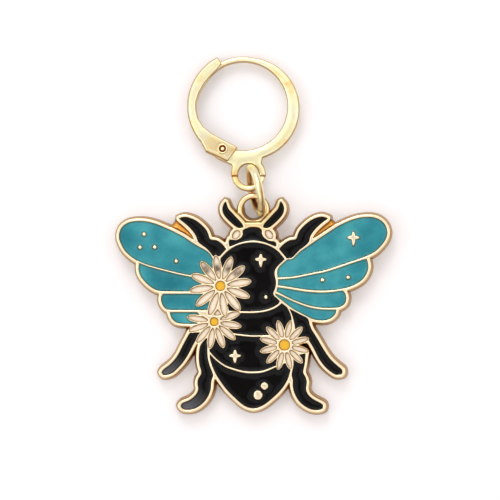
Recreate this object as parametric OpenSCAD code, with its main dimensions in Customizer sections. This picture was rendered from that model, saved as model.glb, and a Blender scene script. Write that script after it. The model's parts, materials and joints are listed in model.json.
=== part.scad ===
// Stitch marker: a bee charm in plated metal with enamel filled cells, hung by an open
// jump ring from a round lever clasp. It lies flat on its back: x to the right, y towards
// the top of the clasp, z up, with the table at z = 0 and the origin under the middle.
// Outlines are hand chosen points in mm, measured from the charm's own middle line.

/* [Charm plate] */
// width of the charm over both wings, rims included
charm_w = 29.6; // [26:0.2:33]
// thickness of the whole plate, walls included
plate_t = 1.6; // [1.2:0.1:2.4]
// depth of the enamel cells below the wall tops
cell_depth = 0.45; // [0.3:0.05:0.7]
// width of the metal rim around the outside of the cells
rim_w = 0.4; // [0.3:0.05:0.6]
// radius of the small raised dots
dot_r = 0.23; // [0.15:0.01:0.3]
// width of the arms of the raised four point crosses, which taper to about half of it
cross_w = 0.3; // [0.2:0.02:0.4]

/* [Enamel] */
// how far the black and teal enamel stays below the wall tops
enamel_drop = 0.08; // [0.03:0.01:0.2]
// how far the thinner white and yellow enamel stays below the wall tops
petal_drop = 0.16; // [0.05:0.01:0.25]

/* [Daisies] */
// tip radius of the upper daisy
daisy_a_r = 3.4; // [3:0.1:3.5]
// tip radius of the lower left daisy
daisy_b_r = 3.0; // [2.6:0.1:3.1]
// tip radius of the lower right daisy
daisy_c_r = 2.75; // [2.4:0.05:2.9]
// radius of the yellow centre of the upper daisy
centre_a_r = 0.52; // [0.35:0.01:0.55]
// radius of the yellow centre of the lower left daisy
centre_b_r = 0.45; // [0.35:0.01:0.55]
// radius of the yellow centre of the lower right daisy
centre_c_r = 0.58; // [0.4:0.01:0.62]
// width of the raised ring around each yellow centre
centre_wall = 0.16; // [0.1:0.01:0.2]
// width of the raised rim around each petal
petal_wall = 0.12; // [0.08:0.01:0.15]

/* [Eyelet] */
// radius of the eyelet's hole
eyelet_hole_r = 1.16; // [1.05:0.02:1.3]
// width of the metal around the hole
eyelet_wall = 0.61; // [0.45:0.02:0.63]
// thickness of the eyelet
eyelet_t = 1.0; // [0.8:0.05:1.1]
// step from the charm's back up to the eyelet's underside
eyelet_step = 0.3; // [0.28:0.02:0.4]

/* [Jump ring] */
// radius of the middle line of the ring's wire
ring_r = 2.4; // [2.36:0.01:2.46]
// diameter of the ring's wire
ring_wire = 0.8; // [0.6:0.02:0.82]
// how far the ring leans over to the left from upright
ring_lean = 12; // [8:1:14]
// how far the ring is turned away from the charm's middle line
ring_turn = 12.8; // [8:0.2:15]
// width of the cut where the ring was opened
ring_cut = 0.06; // [0.02:0.01:0.15]

/* [Clasp hoop] */
// radius of the hoop's opening
hoop_in_r = 4.78; // [4.6:0.02:4.9]
// width of the hoop's band at the top
band_top = 0.62; // [0.55:0.01:0.72]
// width of the hoop's band at its right side
band_wide = 1.32; // [1.1:0.02:1.5]
// thickness of the hoop's sheet
hoop_t = 1.1; // [0.8:0.05:1.2]
// radius of the lug around the rivet
lug_r = 1.2; // [1.05:0.05:1.3]
// diameter of the wire of the hanging loop
loop_wire = 0.7; // [0.5:0.02:0.72]
// radius of the middle line of the hanging loop's wire
loop_r = 1.5; // [1.45:0.01:1.52]

/* [Lever] */
// thickness of the lever's sheet
sheet = 0.3; // [0.2:0.02:0.35]
// play between the hoop's sheet and each cheek of the lever
cheek_gap = 0.05; // [0.03:0.01:0.08]
// play between the tip of the hoop and the inside of the lever's back
lever_gap = 0.25; // [0.15:0.01:0.35]

/* [Rivet] */
// diameter of the rivet's shaft
rivet_d = 0.7; // [0.5:0.02:0.8]
// radius of the rivet's rolled head
rivet_head_r = 0.55; // [0.48:0.01:0.7]
// height of the rolled head above the cheek
rivet_head_t = 0.18; // [0.1:0.01:0.25]
// radial play of the shaft in the lug
rivet_gap = 0.04; // [0.02:0.01:0.08]

/* [Hidden] */
$fn = 96;
gold = "#E6CD8C";
black = "#15161A";
white = "#F0E2D6";
yellow = "#E9B22E";
teal = "#3C9CA6";
more = 0.5;
floor_z = plate_t - cell_depth;
arc_step = 0.42;
// The cell outlines are drawn 14.4 wide to each side and scaled to the charm's width.
draw_k = (charm_w - 2 * rim_w) / (14.4 + 14.4);
// Middles of the three daisies.
daisy_a = draw_k * [-3.53, 1.55];
daisy_b = draw_k * [-4.2, -2.29];
daisy_c = draw_k * [3.34, -4.79];
petal_n = 12;
petal_root_w = 0.06;
petal_off = 0.12;
// The eyelet stands on top of the head, and the loop's wire lies close behind its bar, a
// little to the left.
head_top = draw_k * 8;
neck_w = 3;
neck_step = 0.4;
eyelet_r = eyelet_hole_r + eyelet_wall;
eyelet = [0, head_top + eyelet_r];
bar_gap = 0.13;
loop_shift = 0.54;
loop_c = eyelet + [-loop_shift, eyelet_r + bar_gap + loop_r + loop_wire / 2];

// Curves.
// A closed curve runs through hand chosen points. A point given twice is a sharp corner.
function unit(v) = norm(v) < 0.000001 ? [0, 0] : v / norm(v);
function area(p) = let (n = len(p))
    [for (i = [0 : n - 1]) p[i][0] * p[(i + 1) % n][1] - p[(i + 1) % n][0] * p[i][1]]
    * [for (i = [0 : n - 1]) 0.5];
function ccw(p) = area(p) > 0 ? p : [for (i = [len(p) - 1 : -1 : 0]) p[i]];
function single(p) = [for (i = [0 : len(p) - 1])
    if (norm(p[i] - p[(i + 1) % len(p)]) > 0.001) p[i]];
function slope(a, b, c, s) = (c - a) * s / max(0.001, norm(b - a) + norm(c - b));
function hermite(b, c, mb, mc, t) =
    b * (2 * t * t * t - 3 * t * t + 1) + mb * (t * t * t - 2 * t * t + t)
    + c * (3 * t * t - 2 * t * t * t) + mc * (t * t * t - t * t);
function curve(p, step = arc_step) = let (n = len(p))
    [for (i = [0 : n - 1])
        let (a = p[(i + n - 1) % n], b = p[i], c = p[(i + 1) % n], d = p[(i + 2) % n],
             s = norm(c - b), k = max(2, ceil(s / step)))
        if (s > 0.001)
        for (j = [0 : k - 1]) hermite(b, c, slope(a, b, c, s), slope(b, c, d, s), j / k)];
// The same points moved outwards by d, corners rounded off.
function grow(q, d) = let (p = single(ccw(q)), n = len(p))
    [for (i = [0 : n - 1])
        let (u = unit(p[i] - p[(i + n - 1) % n]), v = unit(p[(i + 1) % n] - p[i]),
             m = unit(u + v), k = min(1.25, 1 / max(0.5, m * u)))
        p[i] + d * k * [m[1], -m[0]]];
function mirrored(p) = [for (q = p) [-q[0], q[1]]];
function low(p, i) = min([for (q = p) q[i]]);
function high(p, i) = max([for (q = p) q[i]]);

// Cell outlines, charm frame.
wing_l1 = draw_k * [[-4.35, 4.45], [-4.35, 4.45], [-4.72, 5.05], [-5.15, 5.38], [-5.83, 5.73], [-6.5, 6.13],
    [-7.5, 6.8], [-8.5, 7.33], [-9.5, 7.8], [-10.5, 8.2], [-11.4, 8.43], [-12.2, 8.5],
    [-13.2, 8.4], [-13.9, 8.05], [-14.3, 7.5], [-14.4, 6.7], [-14.15, 6.0], [-13.8, 5.4],
    [-13.2, 4.8], [-12.5, 4.32], [-12.5, 4.32], [-11.5, 3.9], [-10.2, 3.52], [-8.8, 3.16],
    [-7.5, 2.86], [-6.6, 2.7], [-4.4, 2.4], [-4.4, 2.4]];
wing_l2 = draw_k * [[-12.24, 4.0], [-12.24, 4.0], [-12.3, 3.4], [-12.2, 2.9], [-11.95, 2.42], [-11.55, 1.95],
    [-11.1, 1.55], [-10.5, 1.18], [-9.9, 1.03], [-8.6, 1.0], [-6.8, 0.98], [-4.4, 0.98],
    [-4.4, 0.98], [-4.4, 2.2], [-4.4, 2.2], [-6.6, 2.5], [-7.5, 2.66], [-8.8, 2.96],
    [-10.2, 3.32], [-11.5, 3.7]];
wing_l3 = draw_k * [[-9.68, 0.68], [-9.68, 0.68], [-9.85, 0.4], [-9.86, -0.05], [-9.7, -0.5], [-9.42, -0.84],
    [-9.1, -0.98], [-8.0, -1.0], [-6.5, -1.01], [-4.5, -1.01], [-4.5, -1.01], [-4.5, 0.7],
    [-4.5, 0.7], [-7.0, 0.69]];
wing_l4 = draw_k * [[-8.92, -1.28], [-8.92, -1.28], [-8.86, -1.6], [-8.7, -1.95], [-8.4, -2.25],
    [-8.0, -2.42], [-7.4, -2.48], [-6.2, -2.5], [-4.8, -2.5], [-4.8, -2.5], [-4.8, -1.28],
    [-4.8, -1.28], [-6.8, -1.28]];
wing_r1 = draw_k * [[3.66, 4.36], [3.66, 4.36], [2.84, 3.62], [2.63, 3.2], [2.62, 2.8], [2.66, 2.46],
    [2.66, 2.46], [3.5, 2.5], [4.5, 2.6], [5.5, 2.79], [6.5, 3.0], [7.5, 3.2], [8.3, 3.44],
    [9.3, 3.78], [10.3, 4.12], [11.3, 4.44], [12.2, 4.8], [13.0, 5.22], [13.7, 5.88],
    [14.17, 6.56], [14.35, 7.26], [14.17, 7.96], [13.7, 8.5], [13.0, 8.83], [12.0, 8.88],
    [11.0, 8.72], [10.0, 8.35], [9.0, 7.85], [8.0, 7.2], [7.0, 6.54], [6.0, 5.86], [5.1, 5.26],
    [4.6, 4.8], [4.25, 4.44]];
wing_r2 = draw_k * [[12.12, 4.42], [12.12, 4.42], [11.2, 4.15], [10.3, 3.85], [9.3, 3.5], [8.3, 3.18],
    [7.5, 2.96], [6.5, 2.78], [5.5, 2.58], [4.5, 2.38], [3.5, 2.28], [2.7, 2.24], [2.7, 2.24],
    [2.68, 1.64], [2.68, 1.64], [3.5, 1.53], [4.5, 1.36], [5.5, 1.2], [6.5, 1.1], [7.5, 1.07],
    [8.5, 1.12], [9.5, 1.26], [10.3, 1.47], [11.0, 1.77], [11.65, 2.22], [12.08, 2.8],
    [12.3, 3.5], [12.25, 4.05]];
wing_r3 = draw_k * [[2.6, 1.36], [2.6, 1.36], [3.5, 1.25], [4.5, 1.08], [5.5, 0.92], [6.5, 0.83],
    [7.5, 0.8], [8.5, 0.86], [9.2, 0.97], [9.58, 1.0], [9.58, 1.0], [9.8, 0.76], [9.92, 0.4],
    [9.92, 0.0], [9.75, -0.36], [9.42, -0.62], [9.0, -0.75], [8.0, -0.79], [7.0, -0.73],
    [6.0, -0.53], [5.0, -0.2], [4.0, 0.22], [3.0, 0.73], [2.52, 0.96], [2.52, 0.96]];
wing_r4 = draw_k * [[2.34, 0.74], [2.34, 0.74], [3.0, 0.45], [4.0, -0.02], [5.0, -0.44], [6.0, -0.78],
    [7.0, -0.97], [8.0, -1.03], [8.86, -1.03], [8.86, -1.03], [8.8, -1.36], [8.52, -1.72],
    [8.1, -2.0], [7.6, -2.12], [7.0, -2.1], [6.4, -1.97], [5.9, -1.76], [5.3, -1.43],
    [4.5, -1.02], [3.75, -0.5], [3.1, 0.02], [2.5, 0.48]];
leg_fl = draw_k * [[-3.62, 4.75], [-3.62, 4.75], [-2.93, 5.5], [-2.93, 5.5], [-3.47, 6.13], [-4.0, 6.43],
    [-4.62, 6.52], [-4.82, 6.98], [-5.0, 7.45], [-5.5, 8.02], [-6.17, 8.55], [-6.97, 8.88],
    [-7.5, 8.93], [-7.97, 8.8], [-7.97, 8.8], [-7.2, 8.2], [-6.5, 7.5], [-6.08, 6.85],
    [-5.92, 6.35], [-5.55, 6.0], [-5.0, 5.6], [-4.6, 5.15], [-4.3, 4.75], [-4.3, 4.75]];
leg_fr = draw_k * [[2.8, 5.5], [2.8, 5.5], [3.62, 4.52], [3.62, 4.52], [4.1, 4.56], [4.5, 4.95], [5.0, 5.44],
    [5.55, 5.86], [5.95, 6.3], [6.08, 6.85], [6.5, 7.5], [7.2, 8.2], [8.0, 8.78], [8.0, 8.78],
    [7.5, 8.93], [6.95, 8.88], [6.2, 8.55], [5.5, 8.0], [5.0, 7.45], [4.8, 6.98], [4.6, 6.52],
    [4.0, 6.43], [3.4, 6.1]];
antenna_l = draw_k * [[-2.95, 10.58], [-2.84, 10.22], [-2.68, 9.8], [-2.33, 9.42], [-1.8, 8.85],
    [-1.25, 8.25], [-1.08, 7.9], [-1.4, 7.78], [-1.8, 7.92], [-2.33, 8.35], [-2.9, 8.92],
    [-3.2, 9.4], [-3.28, 9.87], [-3.15, 10.3]];
head_cell = draw_k * [[-1.1, 7.5], [-0.47, 7.8], [0.33, 7.82], [0.88, 7.6], [0.9, 7.15], [1.15, 6.72],
    [1.65, 6.38], [2.2, 6.3], [2.45, 6.1], [2.4, 5.78], [2.4, 5.78], [1.67, 6.1], [0.9, 6.34],
    [0, 6.46], [-0.9, 6.34], [-1.67, 6.13], [-2.5, 5.78], [-2.5, 5.78], [-2.6, 6.2],
    [-2.5, 6.5], [-1.9, 6.46], [-1.3, 6.7], [-1.08, 7.1]];
thorax = draw_k * [[-3.5, 4.5], [-3.5, 4.5], [-2.75, 5.26], [-1.67, 5.92], [0, 6.2], [1.62, 5.88],
    [2.6, 5.28], [3.36, 4.42], [3.36, 4.42], [2.6, 3.7], [2.32, 3.3], [2.26, 2.85], [2.36, 2.3],
    [2.42, 1.9], [2.32, 1.3], [2.12, 0.76], [2.28, 0.4], [2.82, -0.08], [2.5, -0.48],
    [1.67, -0.9], [0.8, -1.1], [0, -1.16], [-1.2, -1.16], [-2.6, -1.1], [-2.6, -1.1],
    [-3.4, 1.5], [-3.4, 1.5]];
abdomen_1 = draw_k * [[-2.6, -1.4], [-2.6, -1.4], [-1.2, -1.38], [0, -1.38], [0.85, -1.3], [1.7, -1.12],
    [2.55, -0.75], [3.05, -0.34], [3.05, -0.34], [3.6, -0.76], [3.85, -1.2], [4.05, -1.75],
    [4.1, -2.3], [4.1, -2.9], [3.8, -3.7], [3.8, -3.7], [1.6, -3.7], [0, -3.73], [-1.2, -3.62],
    [-2.2, -3.48], [-3.4, -3.2], [-3.4, -3.2]];
abdomen_2 = draw_k * [[-3.4, -3.45], [-3.4, -3.45], [-2.2, -3.7], [-1.2, -3.84], [0, -3.94], [0.9, -3.94],
    [1.5, -4.3], [3.2, -4.8], [3.2, -4.8], [3.2, -6.72], [3.2, -6.72], [2.5, -6.95], [1.83, -7.22],
    [0.95, -7.53], [0, -7.61], [-0.95, -7.56], [-1.98, -7.3], [-3.0, -6.93], [-4.0, -6.2],
    [-4.68, -5.45], [-4.68, -5.45], [-4.7, -4.9], [-4.6, -3.9], [-4.6, -3.9]];
abdomen_3 = draw_k * [[-4.66, -5.8], [-4.66, -5.8], [-4.03, -6.45], [-3.0, -7.18], [-1.98, -7.55],
    [-0.95, -7.8], [0, -7.85], [0.95, -7.77], [1.83, -7.46], [2.8, -7.0], [3.9, -6.6],
    [3.9, -6.6], [4.02, -7.1], [3.88, -7.8], [3.5, -8.75], [2.85, -9.68], [1.9, -10.58],
    [0.95, -11.28], [0, -11.57], [-0.95, -11.28], [-1.9, -10.5], [-2.85, -9.55], [-3.5, -8.68],
    [-4.05, -7.8], [-4.42, -6.95], [-4.62, -6.3]];
leg_ml = draw_k * [[-6.77, -3.46], [-6.77, -3.46], [-5.0, -3.46], [-5.0, -3.46], [-5.9, -3.9],
    [-6.15, -4.2], [-6.5, -4.75], [-6.8, -5.36], [-7.17, -6.02], [-7.63, -6.7], [-8.15, -7.25],
    [-8.63, -7.7], [-9.17, -7.95], [-9.66, -7.97], [-9.82, -7.72], [-9.6, -7.4], [-9.03, -6.98],
    [-8.5, -6.45], [-8.03, -5.8], [-7.63, -5.0], [-7.2, -4.2], [-6.98, -3.8]];
leg_hl = draw_k * [[-5.1, -4.1], [-5.1, -4.1], [-5.57, -4.7], [-5.76, -5.3], [-5.82, -6.2], [-5.74, -7.0],
    [-5.55, -7.6], [-5.62, -8.0], [-5.88, -8.4], [-5.97, -8.95], [-5.88, -9.5], [-6.02, -9.95],
    [-6.43, -10.42], [-6.97, -10.8], [-7.55, -11.02], [-7.78, -11.32], [-7.6, -11.6],
    [-7.17, -11.72], [-6.5, -11.65], [-5.83, -11.32], [-5.2, -10.73], [-4.8, -10.07],
    [-4.6, -9.4], [-4.56, -8.73], [-4.45, -8.33], [-4.35, -8.0], [-4.6, -7.33], [-4.88, -6.4],
    [-4.96, -5.4], [-4.9, -4.1], [-4.9, -4.1]];
leg_mr = draw_k * [[3.9, -0.92], [3.9, -0.92], [4.5, -1.25], [5.2, -1.62], [5.84, -1.98], [6.0, -2.55],
    [6.2, -3.1], [6.5, -3.58], [6.94, -4.3], [7.34, -5.0], [7.84, -5.8], [8.4, -6.5],
    [9.02, -7.06], [9.5, -7.5], [9.44, -7.86], [8.9, -7.95], [8.3, -7.62], [7.6, -6.98],
    [7.05, -6.2], [6.64, -5.4], [6.3, -4.76], [5.9, -4.2], [5.9, -4.2], [4.4, -4.4],
    [4.4, -4.4], [4.52, -3.0], [4.38, -2.25], [4.18, -1.55]];
leg_hr = draw_k * [[4.3, -6.0], [4.3, -6.0], [5.56, -5.7], [5.56, -5.7], [5.52, -6.5], [5.42, -7.1],
    [5.3, -7.72], [5.56, -8.26], [5.7, -8.76], [5.6, -9.45], [5.78, -10.05], [6.3, -10.56],
    [6.95, -10.92], [7.4, -11.2], [7.38, -11.56], [6.9, -11.74], [6.2, -11.66], [5.5, -11.3],
    [4.9, -10.76], [4.45, -9.96], [4.26, -9.16], [4.28, -8.5], [4.14, -8.04], [4.24, -7.4],
    [4.34, -6.8]];
// Bare webs low down between each foreleg and the wing, and a small notch between daisies.
web_l = draw_k * [[-8.25, 8.7], [-8.25, 8.7], [-7.2, 8.2], [-6.4, 7.3], [-6.0, 6.2], [-6.0, 6.2],
    [-7.2, 6.8], [-8.3, 7.4], [-9.1, 7.8], [-9.1, 7.8], [-8.6, 8.15]];
web_r = draw_k * [[8.25, 8.7], [8.25, 8.7], [7.2, 8.2], [6.4, 7.3], [6.0, 6.2], [6.0, 6.2], [7.2, 6.9],
    [8.3, 7.6], [9.2, 8.1], [9.2, 8.1], [8.7, 8.3]];
notch = draw_k * [[-2.82, -0.5], [-2.55, -0.6], [-2.38, -0.85], [-2.62, -0.8]];

// Clasp, in its own flat frame: z = 0 is the middle of its sheet.
// The hoop stands off the loop by a foot, a little to the left, and its wide disc is shifted
// down to the right. The rivet sits on the band, low on the left.
foot = 2.62;
foot_a = 94.57;
wide_shift = [0.54, -0.26];
hoop_c = polar(loop_c, hoop_in_r + foot, foot_a);
wide_c = hoop_c + wide_shift;
hoop_out_r = hoop_in_r + band_wide - wide_shift[0];
rivet_in = 0.36;
rivet_a = 244.9;
rivet = polar(hoop_c, hoop_in_r + rivet_in, rivet_a);
cheek_in = hoop_t / 2 + cheek_gap;
cheek_out = cheek_in + sheet;
rivet_bore_r = rivet_d / 2 + rivet_gap;
inner_lug_r = 0.86;
pin_rim = 0.06;
hoop_r_top = hoop_in_r + band_top;
// The lever's back is an arc between two angles, its middle a little left of the hoop's.
lever_a0 = 117;
lever_a1 = 221;
arc_parts = 26;
lever_shift = 0.07;
lever_c = hoop_c - [lever_shift, 0];
lever_r = hoop_r_top + lever_gap + sheet;
lever_end = polar(lever_c, lever_r, lever_a0);
// The flat half of the loop is a little wider than its wire, and the wire runs up into it.
flat_more = 0.03;
loop_out_r = loop_r + loop_wire / 2 + flat_more;
loop_hole_r = loop_r - loop_wire / 2 - flat_more;
flat_low = 0.2;
wire_in = 5;
// The clasp lies on the far end of its lever, and its loop rises to sit on the ring.
rest_gap = 0.07;
loop_z = ring_wire + rest_gap + loop_wire / 2;
clasp_z = cheek_out;
clasp_tilt = asin((loop_z - clasp_z) / (lever_end[1] - loop_c[1]));

// Ring, standing on its edge on the table. Its middle lies between the two bars that it
// holds, a little above, and its wire keeps clear of the right side of the eyelet's hole.
bars_mid = (eyelet[1] + eyelet_hole_r + loop_c[1] - loop_r + loop_wire / 2) / 2;
ring_up_shift = 0.09;
side_play = 0.51;
ring_p = [eyelet_hole_r - ring_wire / 2 - side_play, bars_mid + ring_up_shift];
ring_z = ring_r * cos(ring_lean) + ring_wire / 2;
ring_along = [sin(ring_turn), -cos(ring_turn), 0];
ring_side = cross([0, 0, 1], ring_along);
ring_up = cos(ring_lean) * [0, 0, 1] + sin(ring_lean) * ring_side;
ring_axis = cross(ring_along, ring_up);
cut_at = 19;

// Middle of the whole part, so that the origin lies under it.
back_y = low(curve(grow(abdomen_3, rim_w)), 1);
leg_y = min(low(curve(grow(leg_hr, rim_w)), 1), low(curve(grow(leg_hl, rim_w)), 1));
left_x = low(curve(grow(wing_l1, rim_w)), 0);
right_x = high(curve(grow(wing_r1, rim_w)), 0);
foot_y = min(back_y, leg_y);
mid = [(left_x + right_x) / 2, (foot_y + max(lever_end[1], wide_c[1] + hoop_out_r,
    hoop_c[1] + hoop_r_top)) / 2, 0];

// The charm lies on its tail, and the ring carries its eyelet.
bar_rise = 0.18;
charm_tilt = asin((ring_wire + bar_rise - eyelet_step) / (eyelet[1] + eyelet_hole_r - foot_y));

module charm_frame() {
    translate([-mid[0], foot_y - mid[1], 0])
        rotate([charm_tilt, 0, 0])
            translate([0, -foot_y, 0])
                children();
}

module clasp_frame() {
    translate([-mid[0], lever_end[1] - mid[1], clasp_z])
        rotate([-clasp_tilt, 0, 0])
            translate([0, -lever_end[1], 0])
                children();
}

module ring_frame() {
    multmatrix([
        [ring_along[0], ring_up[0], ring_axis[0], ring_p[0] - mid[0]],
        [ring_along[1], ring_up[1], ring_axis[1], ring_p[1] - mid[1]],
        [ring_along[2], ring_up[2], ring_axis[2], ring_z],
        [0, 0, 0, 1]])
        children();
}

module prism(points, z0, z1) {
    translate([0, 0, z0])
        linear_extrude(height = z1 - z0)
            polygon(points);
}

// Daisy outlines: twelve petals that meet in notches, around a ring.
function polar(c, r, a) = c + r * [cos(a), sin(a)];
function rosette(c, r, turn) = [for (k = [0 : petal_n - 1]) let (a = turn + k * 360 / petal_n)
    for (q = [[0.58, -15], [0.58, -15], [0.73, -11.2], [0.86, -7.8], [0.96, -3.8], [1, 0],
        [0.96, 3.8], [0.86, 7.8], [0.73, 11.2]]) polar(c, q[0] * r, a + q[1])];
function petal(c, r0, r, a) = [for (q = [[r0, petal_root_w], [0.38 * r, 0.08 * r],
    [0.56 * r, 0.14 * r - petal_wall], [0.72 * r, 0.142 * r - petal_wall],
    [0.86 * r, 0.113 * r - petal_wall], [0.945 * r, 0.06 * r - petal_wall / 2],
    [r - petal_wall, 0], [0.945 * r, petal_wall / 2 - 0.06 * r],
    [0.86 * r, petal_wall - 0.113 * r], [0.72 * r, petal_wall - 0.142 * r],
    [0.56 * r, petal_wall - 0.14 * r], [0.38 * r, -0.08 * r], [r0, -petal_root_w]])
    c + q[0] * [cos(a), sin(a)] + q[1] * [-sin(a), cos(a)]];

module daisy_a_solid(z0, z1) {
    prism(curve(rosette(daisy_a, daisy_a_r, 9)), z0, z1);
}

module daisy_b_solid(z0, z1) {
    prism(curve(rosette(daisy_b, daisy_b_r, 20)), z0, z1);
}

module daisy_c_solid(z0, z1) {
    prism(curve(rosette(daisy_c, daisy_c_r, 15)), z0, z1);
}

module petals(c, r, centre_r, turn, first, last, z0, z1) {
    for (k = [first : last])
        prism(curve(petal(c, centre_r + centre_wall + petal_off, r, turn + k * 360 / petal_n)), z0, z1);
}

module petals_a(z0, z1) {
    petals(daisy_a, daisy_a_r, centre_a_r, 9, 0, 11, z0, z1);
}

// The lower left daisy has eight whole petals. The upper daisy lies over the rest, and
// only the root of one more shows between its petals.
petal_root = draw_k * [[-4.22, -1.52], [-4.02, -1.2], [-3.8, -0.98], [-3.64, -1.2], [-3.48, -1.5],
    [-3.85, -1.6]];
module petals_b(z0, z1) {
    difference() {
        petals(daisy_b, daisy_b_r, centre_b_r, 20, 5, 12, z0, z1);
        daisy_a_solid(z0 - more, z1 + more);
    }
    prism(curve(ccw(petal_root)), z0, z1);
}

module petals_c(z0, z1) {
    petals(daisy_c, daisy_c_r, centre_c_r, 15, 0, 11, z0, z1);
}

module centre(c, r, z0, z1) {
    translate([c[0], c[1], z0])
        cylinder(h = z1 - z0, r = r);
}

// Raised dots and crosses on the floor of the cells.
dots_l1 = draw_k * [[-11.75, 7.12], [-12.19, 5.71], [-10.61, 5.73], [-8.3, 4.23]];
dots_r2 = draw_k * [[7.43, 2.18], [10.18, 2.46]];
disc_a_r = 0.4;
disc_b_r = 0.5;
module dots(list, z0, z1, r = dot_r) {
    for (q = list)
        translate([q[0], q[1], z0])
            cylinder(h = z1 - z0, r = r);
}

// A cross with four tapered arms, wider where they meet.
module four_point(c, up, down, side, z0, z1) {
    k = cross_w * 0.55;
    t = cross_w * 0.27;
    prism([c + [side, -t], c + [side, t], c + [k, k], c + [t, up], c + [-t, up], c + [-k, k],
        c + [-side, t], c + [-side, -t], c + [-k, -k], c + [-t, -down], c + [t, -down],
        c + [k, -k]], z0, z1);
}

module marks_l1(z0, z1) {
    dots(dots_l1, z0, z1);
}

module marks_r1(z0, z1) {
    four_point(draw_k * [10.74, 6.72], 0.66, 0.88, 0.66, z0, z1);
}

module marks_r2(z0, z1) {
    dots(dots_r2, z0, z1);
}

module marks_thorax(z0, z1) {
    four_point(draw_k * [0.81, 4.4], 0.58, 0.84, 0.62, z0, z1);
    dots([draw_k * [1.35, 0.35]], z0, z1);
}

module marks_abdomen_2(z0, z1) {
    four_point(draw_k * [-1.97, -5.94], 0.64, 0.8, 0.64, z0, z1);
}

module marks_abdomen_3(z0, z1) {
    dots([draw_k * [1.19, -9.19]], z0, z1, disc_a_r);
    dots([draw_k * [0.48, -10.16]], z0, z1, disc_b_r);
}

// Cells: what is cut out of the plate and what fills it share one outline each.
module wing_l1_cell(z0, z1) {
    difference() {
        prism(curve(ccw(wing_l1)), z0, z1);
        daisy_a_solid(z0 - more, z1 + more);
        marks_l1(z0 - more, z1 + more);
    }
}

module wing_l2_cell(z0, z1) {
    difference() {
        prism(curve(ccw(wing_l2)), z0, z1);
        daisy_a_solid(z0 - more, z1 + more);
    }
}

module wing_l3_cell(z0, z1) {
    difference() {
        prism(curve(ccw(wing_l3)), z0, z1);
        daisy_a_solid(z0 - more, z1 + more);
    }
}

module wing_l4_cell(z0, z1) {
    difference() {
        prism(curve(ccw(wing_l4)), z0, z1);
        daisy_a_solid(z0 - more, z1 + more);
        daisy_b_solid(z0 - more, z1 + more);
    }
}

module wing_r1_cell(z0, z1) {
    difference() {
        prism(curve(ccw(wing_r1)), z0, z1);
        marks_r1(z0 - more, z1 + more);
    }
}

module wing_r2_cell(z0, z1) {
    difference() {
        prism(curve(ccw(wing_r2)), z0, z1);
        marks_r2(z0 - more, z1 + more);
    }
}

module wing_r3_cell(z0, z1) {
    prism(curve(ccw(wing_r3)), z0, z1);
}

module wing_r4_cell(z0, z1) {
    prism(curve(ccw(wing_r4)), z0, z1);
}

module thorax_cell(z0, z1) {
    difference() {
        prism(curve(ccw(thorax)), z0, z1);
        daisy_a_solid(z0 - more, z1 + more);
        marks_thorax(z0 - more, z1 + more);
    }
}

module abdomen_1_cell(z0, z1) {
    difference() {
        prism(curve(ccw(abdomen_1)), z0, z1);
        daisy_a_solid(z0 - more, z1 + more);
        daisy_b_solid(z0 - more, z1 + more);
        daisy_c_solid(z0 - more, z1 + more);
    }
}

module abdomen_2_cell(z0, z1) {
    difference() {
        prism(curve(ccw(abdomen_2)), z0, z1);
        daisy_b_solid(z0 - more, z1 + more);
        daisy_c_solid(z0 - more, z1 + more);
        marks_abdomen_2(z0 - more, z1 + more);
    }
}

module abdomen_3_cell(z0, z1) {
    difference() {
        prism(curve(ccw(abdomen_3)), z0, z1);
        daisy_c_solid(z0 - more, z1 + more);
        marks_abdomen_3(z0 - more, z1 + more);
    }
}

module leg_fl_cell(z0, z1) {
    difference() {
        prism(curve(ccw(leg_fl)), z0, z1);
        daisy_a_solid(z0 - more, z1 + more);
    }
}

module leg_fr_cell(z0, z1) {
    prism(curve(ccw(leg_fr)), z0, z1);
}

module leg_ml_cell(z0, z1) {
    difference() {
        prism(curve(ccw(leg_ml)), z0, z1);
        daisy_b_solid(z0 - more, z1 + more);
    }
}

module leg_hl_cell(z0, z1) {
    difference() {
        prism(curve(ccw(leg_hl)), z0, z1);
        daisy_b_solid(z0 - more, z1 + more);
    }
}

module leg_mr_cell(z0, z1) {
    difference() {
        prism(curve(ccw(leg_mr)), z0, z1);
        daisy_c_solid(z0 - more, z1 + more);
    }
}

module leg_hr_cell(z0, z1) {
    difference() {
        prism(curve(ccw(leg_hr)), z0, z1);
        daisy_c_solid(z0 - more, z1 + more);
    }
}

module antenna_l_cell(z0, z1) {
    prism(curve(ccw(antenna_l)), z0, z1);
}

module antenna_r_cell(z0, z1) {
    prism(curve(ccw(mirrored(antenna_l))), z0, z1);
}

module head_in(z0, z1) {
    prism(curve(ccw(head_cell)), z0, z1);
}

function oval(c, a, b, turn) = [for (k = [0 : 23]) let (t = k * 15)
    c + a * cos(t) * [cos(turn), sin(turn)] + b * sin(t) * [-sin(turn), cos(turn)]];
// An eye is an oval that leans inwards; extra is the metal added around it.
eye_a = draw_k * 0.36;
eye_b = draw_k * 0.52;
eye_lean = 38;
function eye_l(extra) = oval(draw_k * [-1.82, 7.04], eye_a + extra, eye_b + extra, -eye_lean);
function eye_r(extra) = oval(draw_k * [1.7, 7.06], eye_a + extra, eye_b + extra, eye_lean);
module eye_l_cell(z0, z1) {
    prism(eye_l(0), z0, z1);
}

module eye_r_cell(z0, z1) {
    prism(eye_r(0), z0, z1);
}

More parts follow.
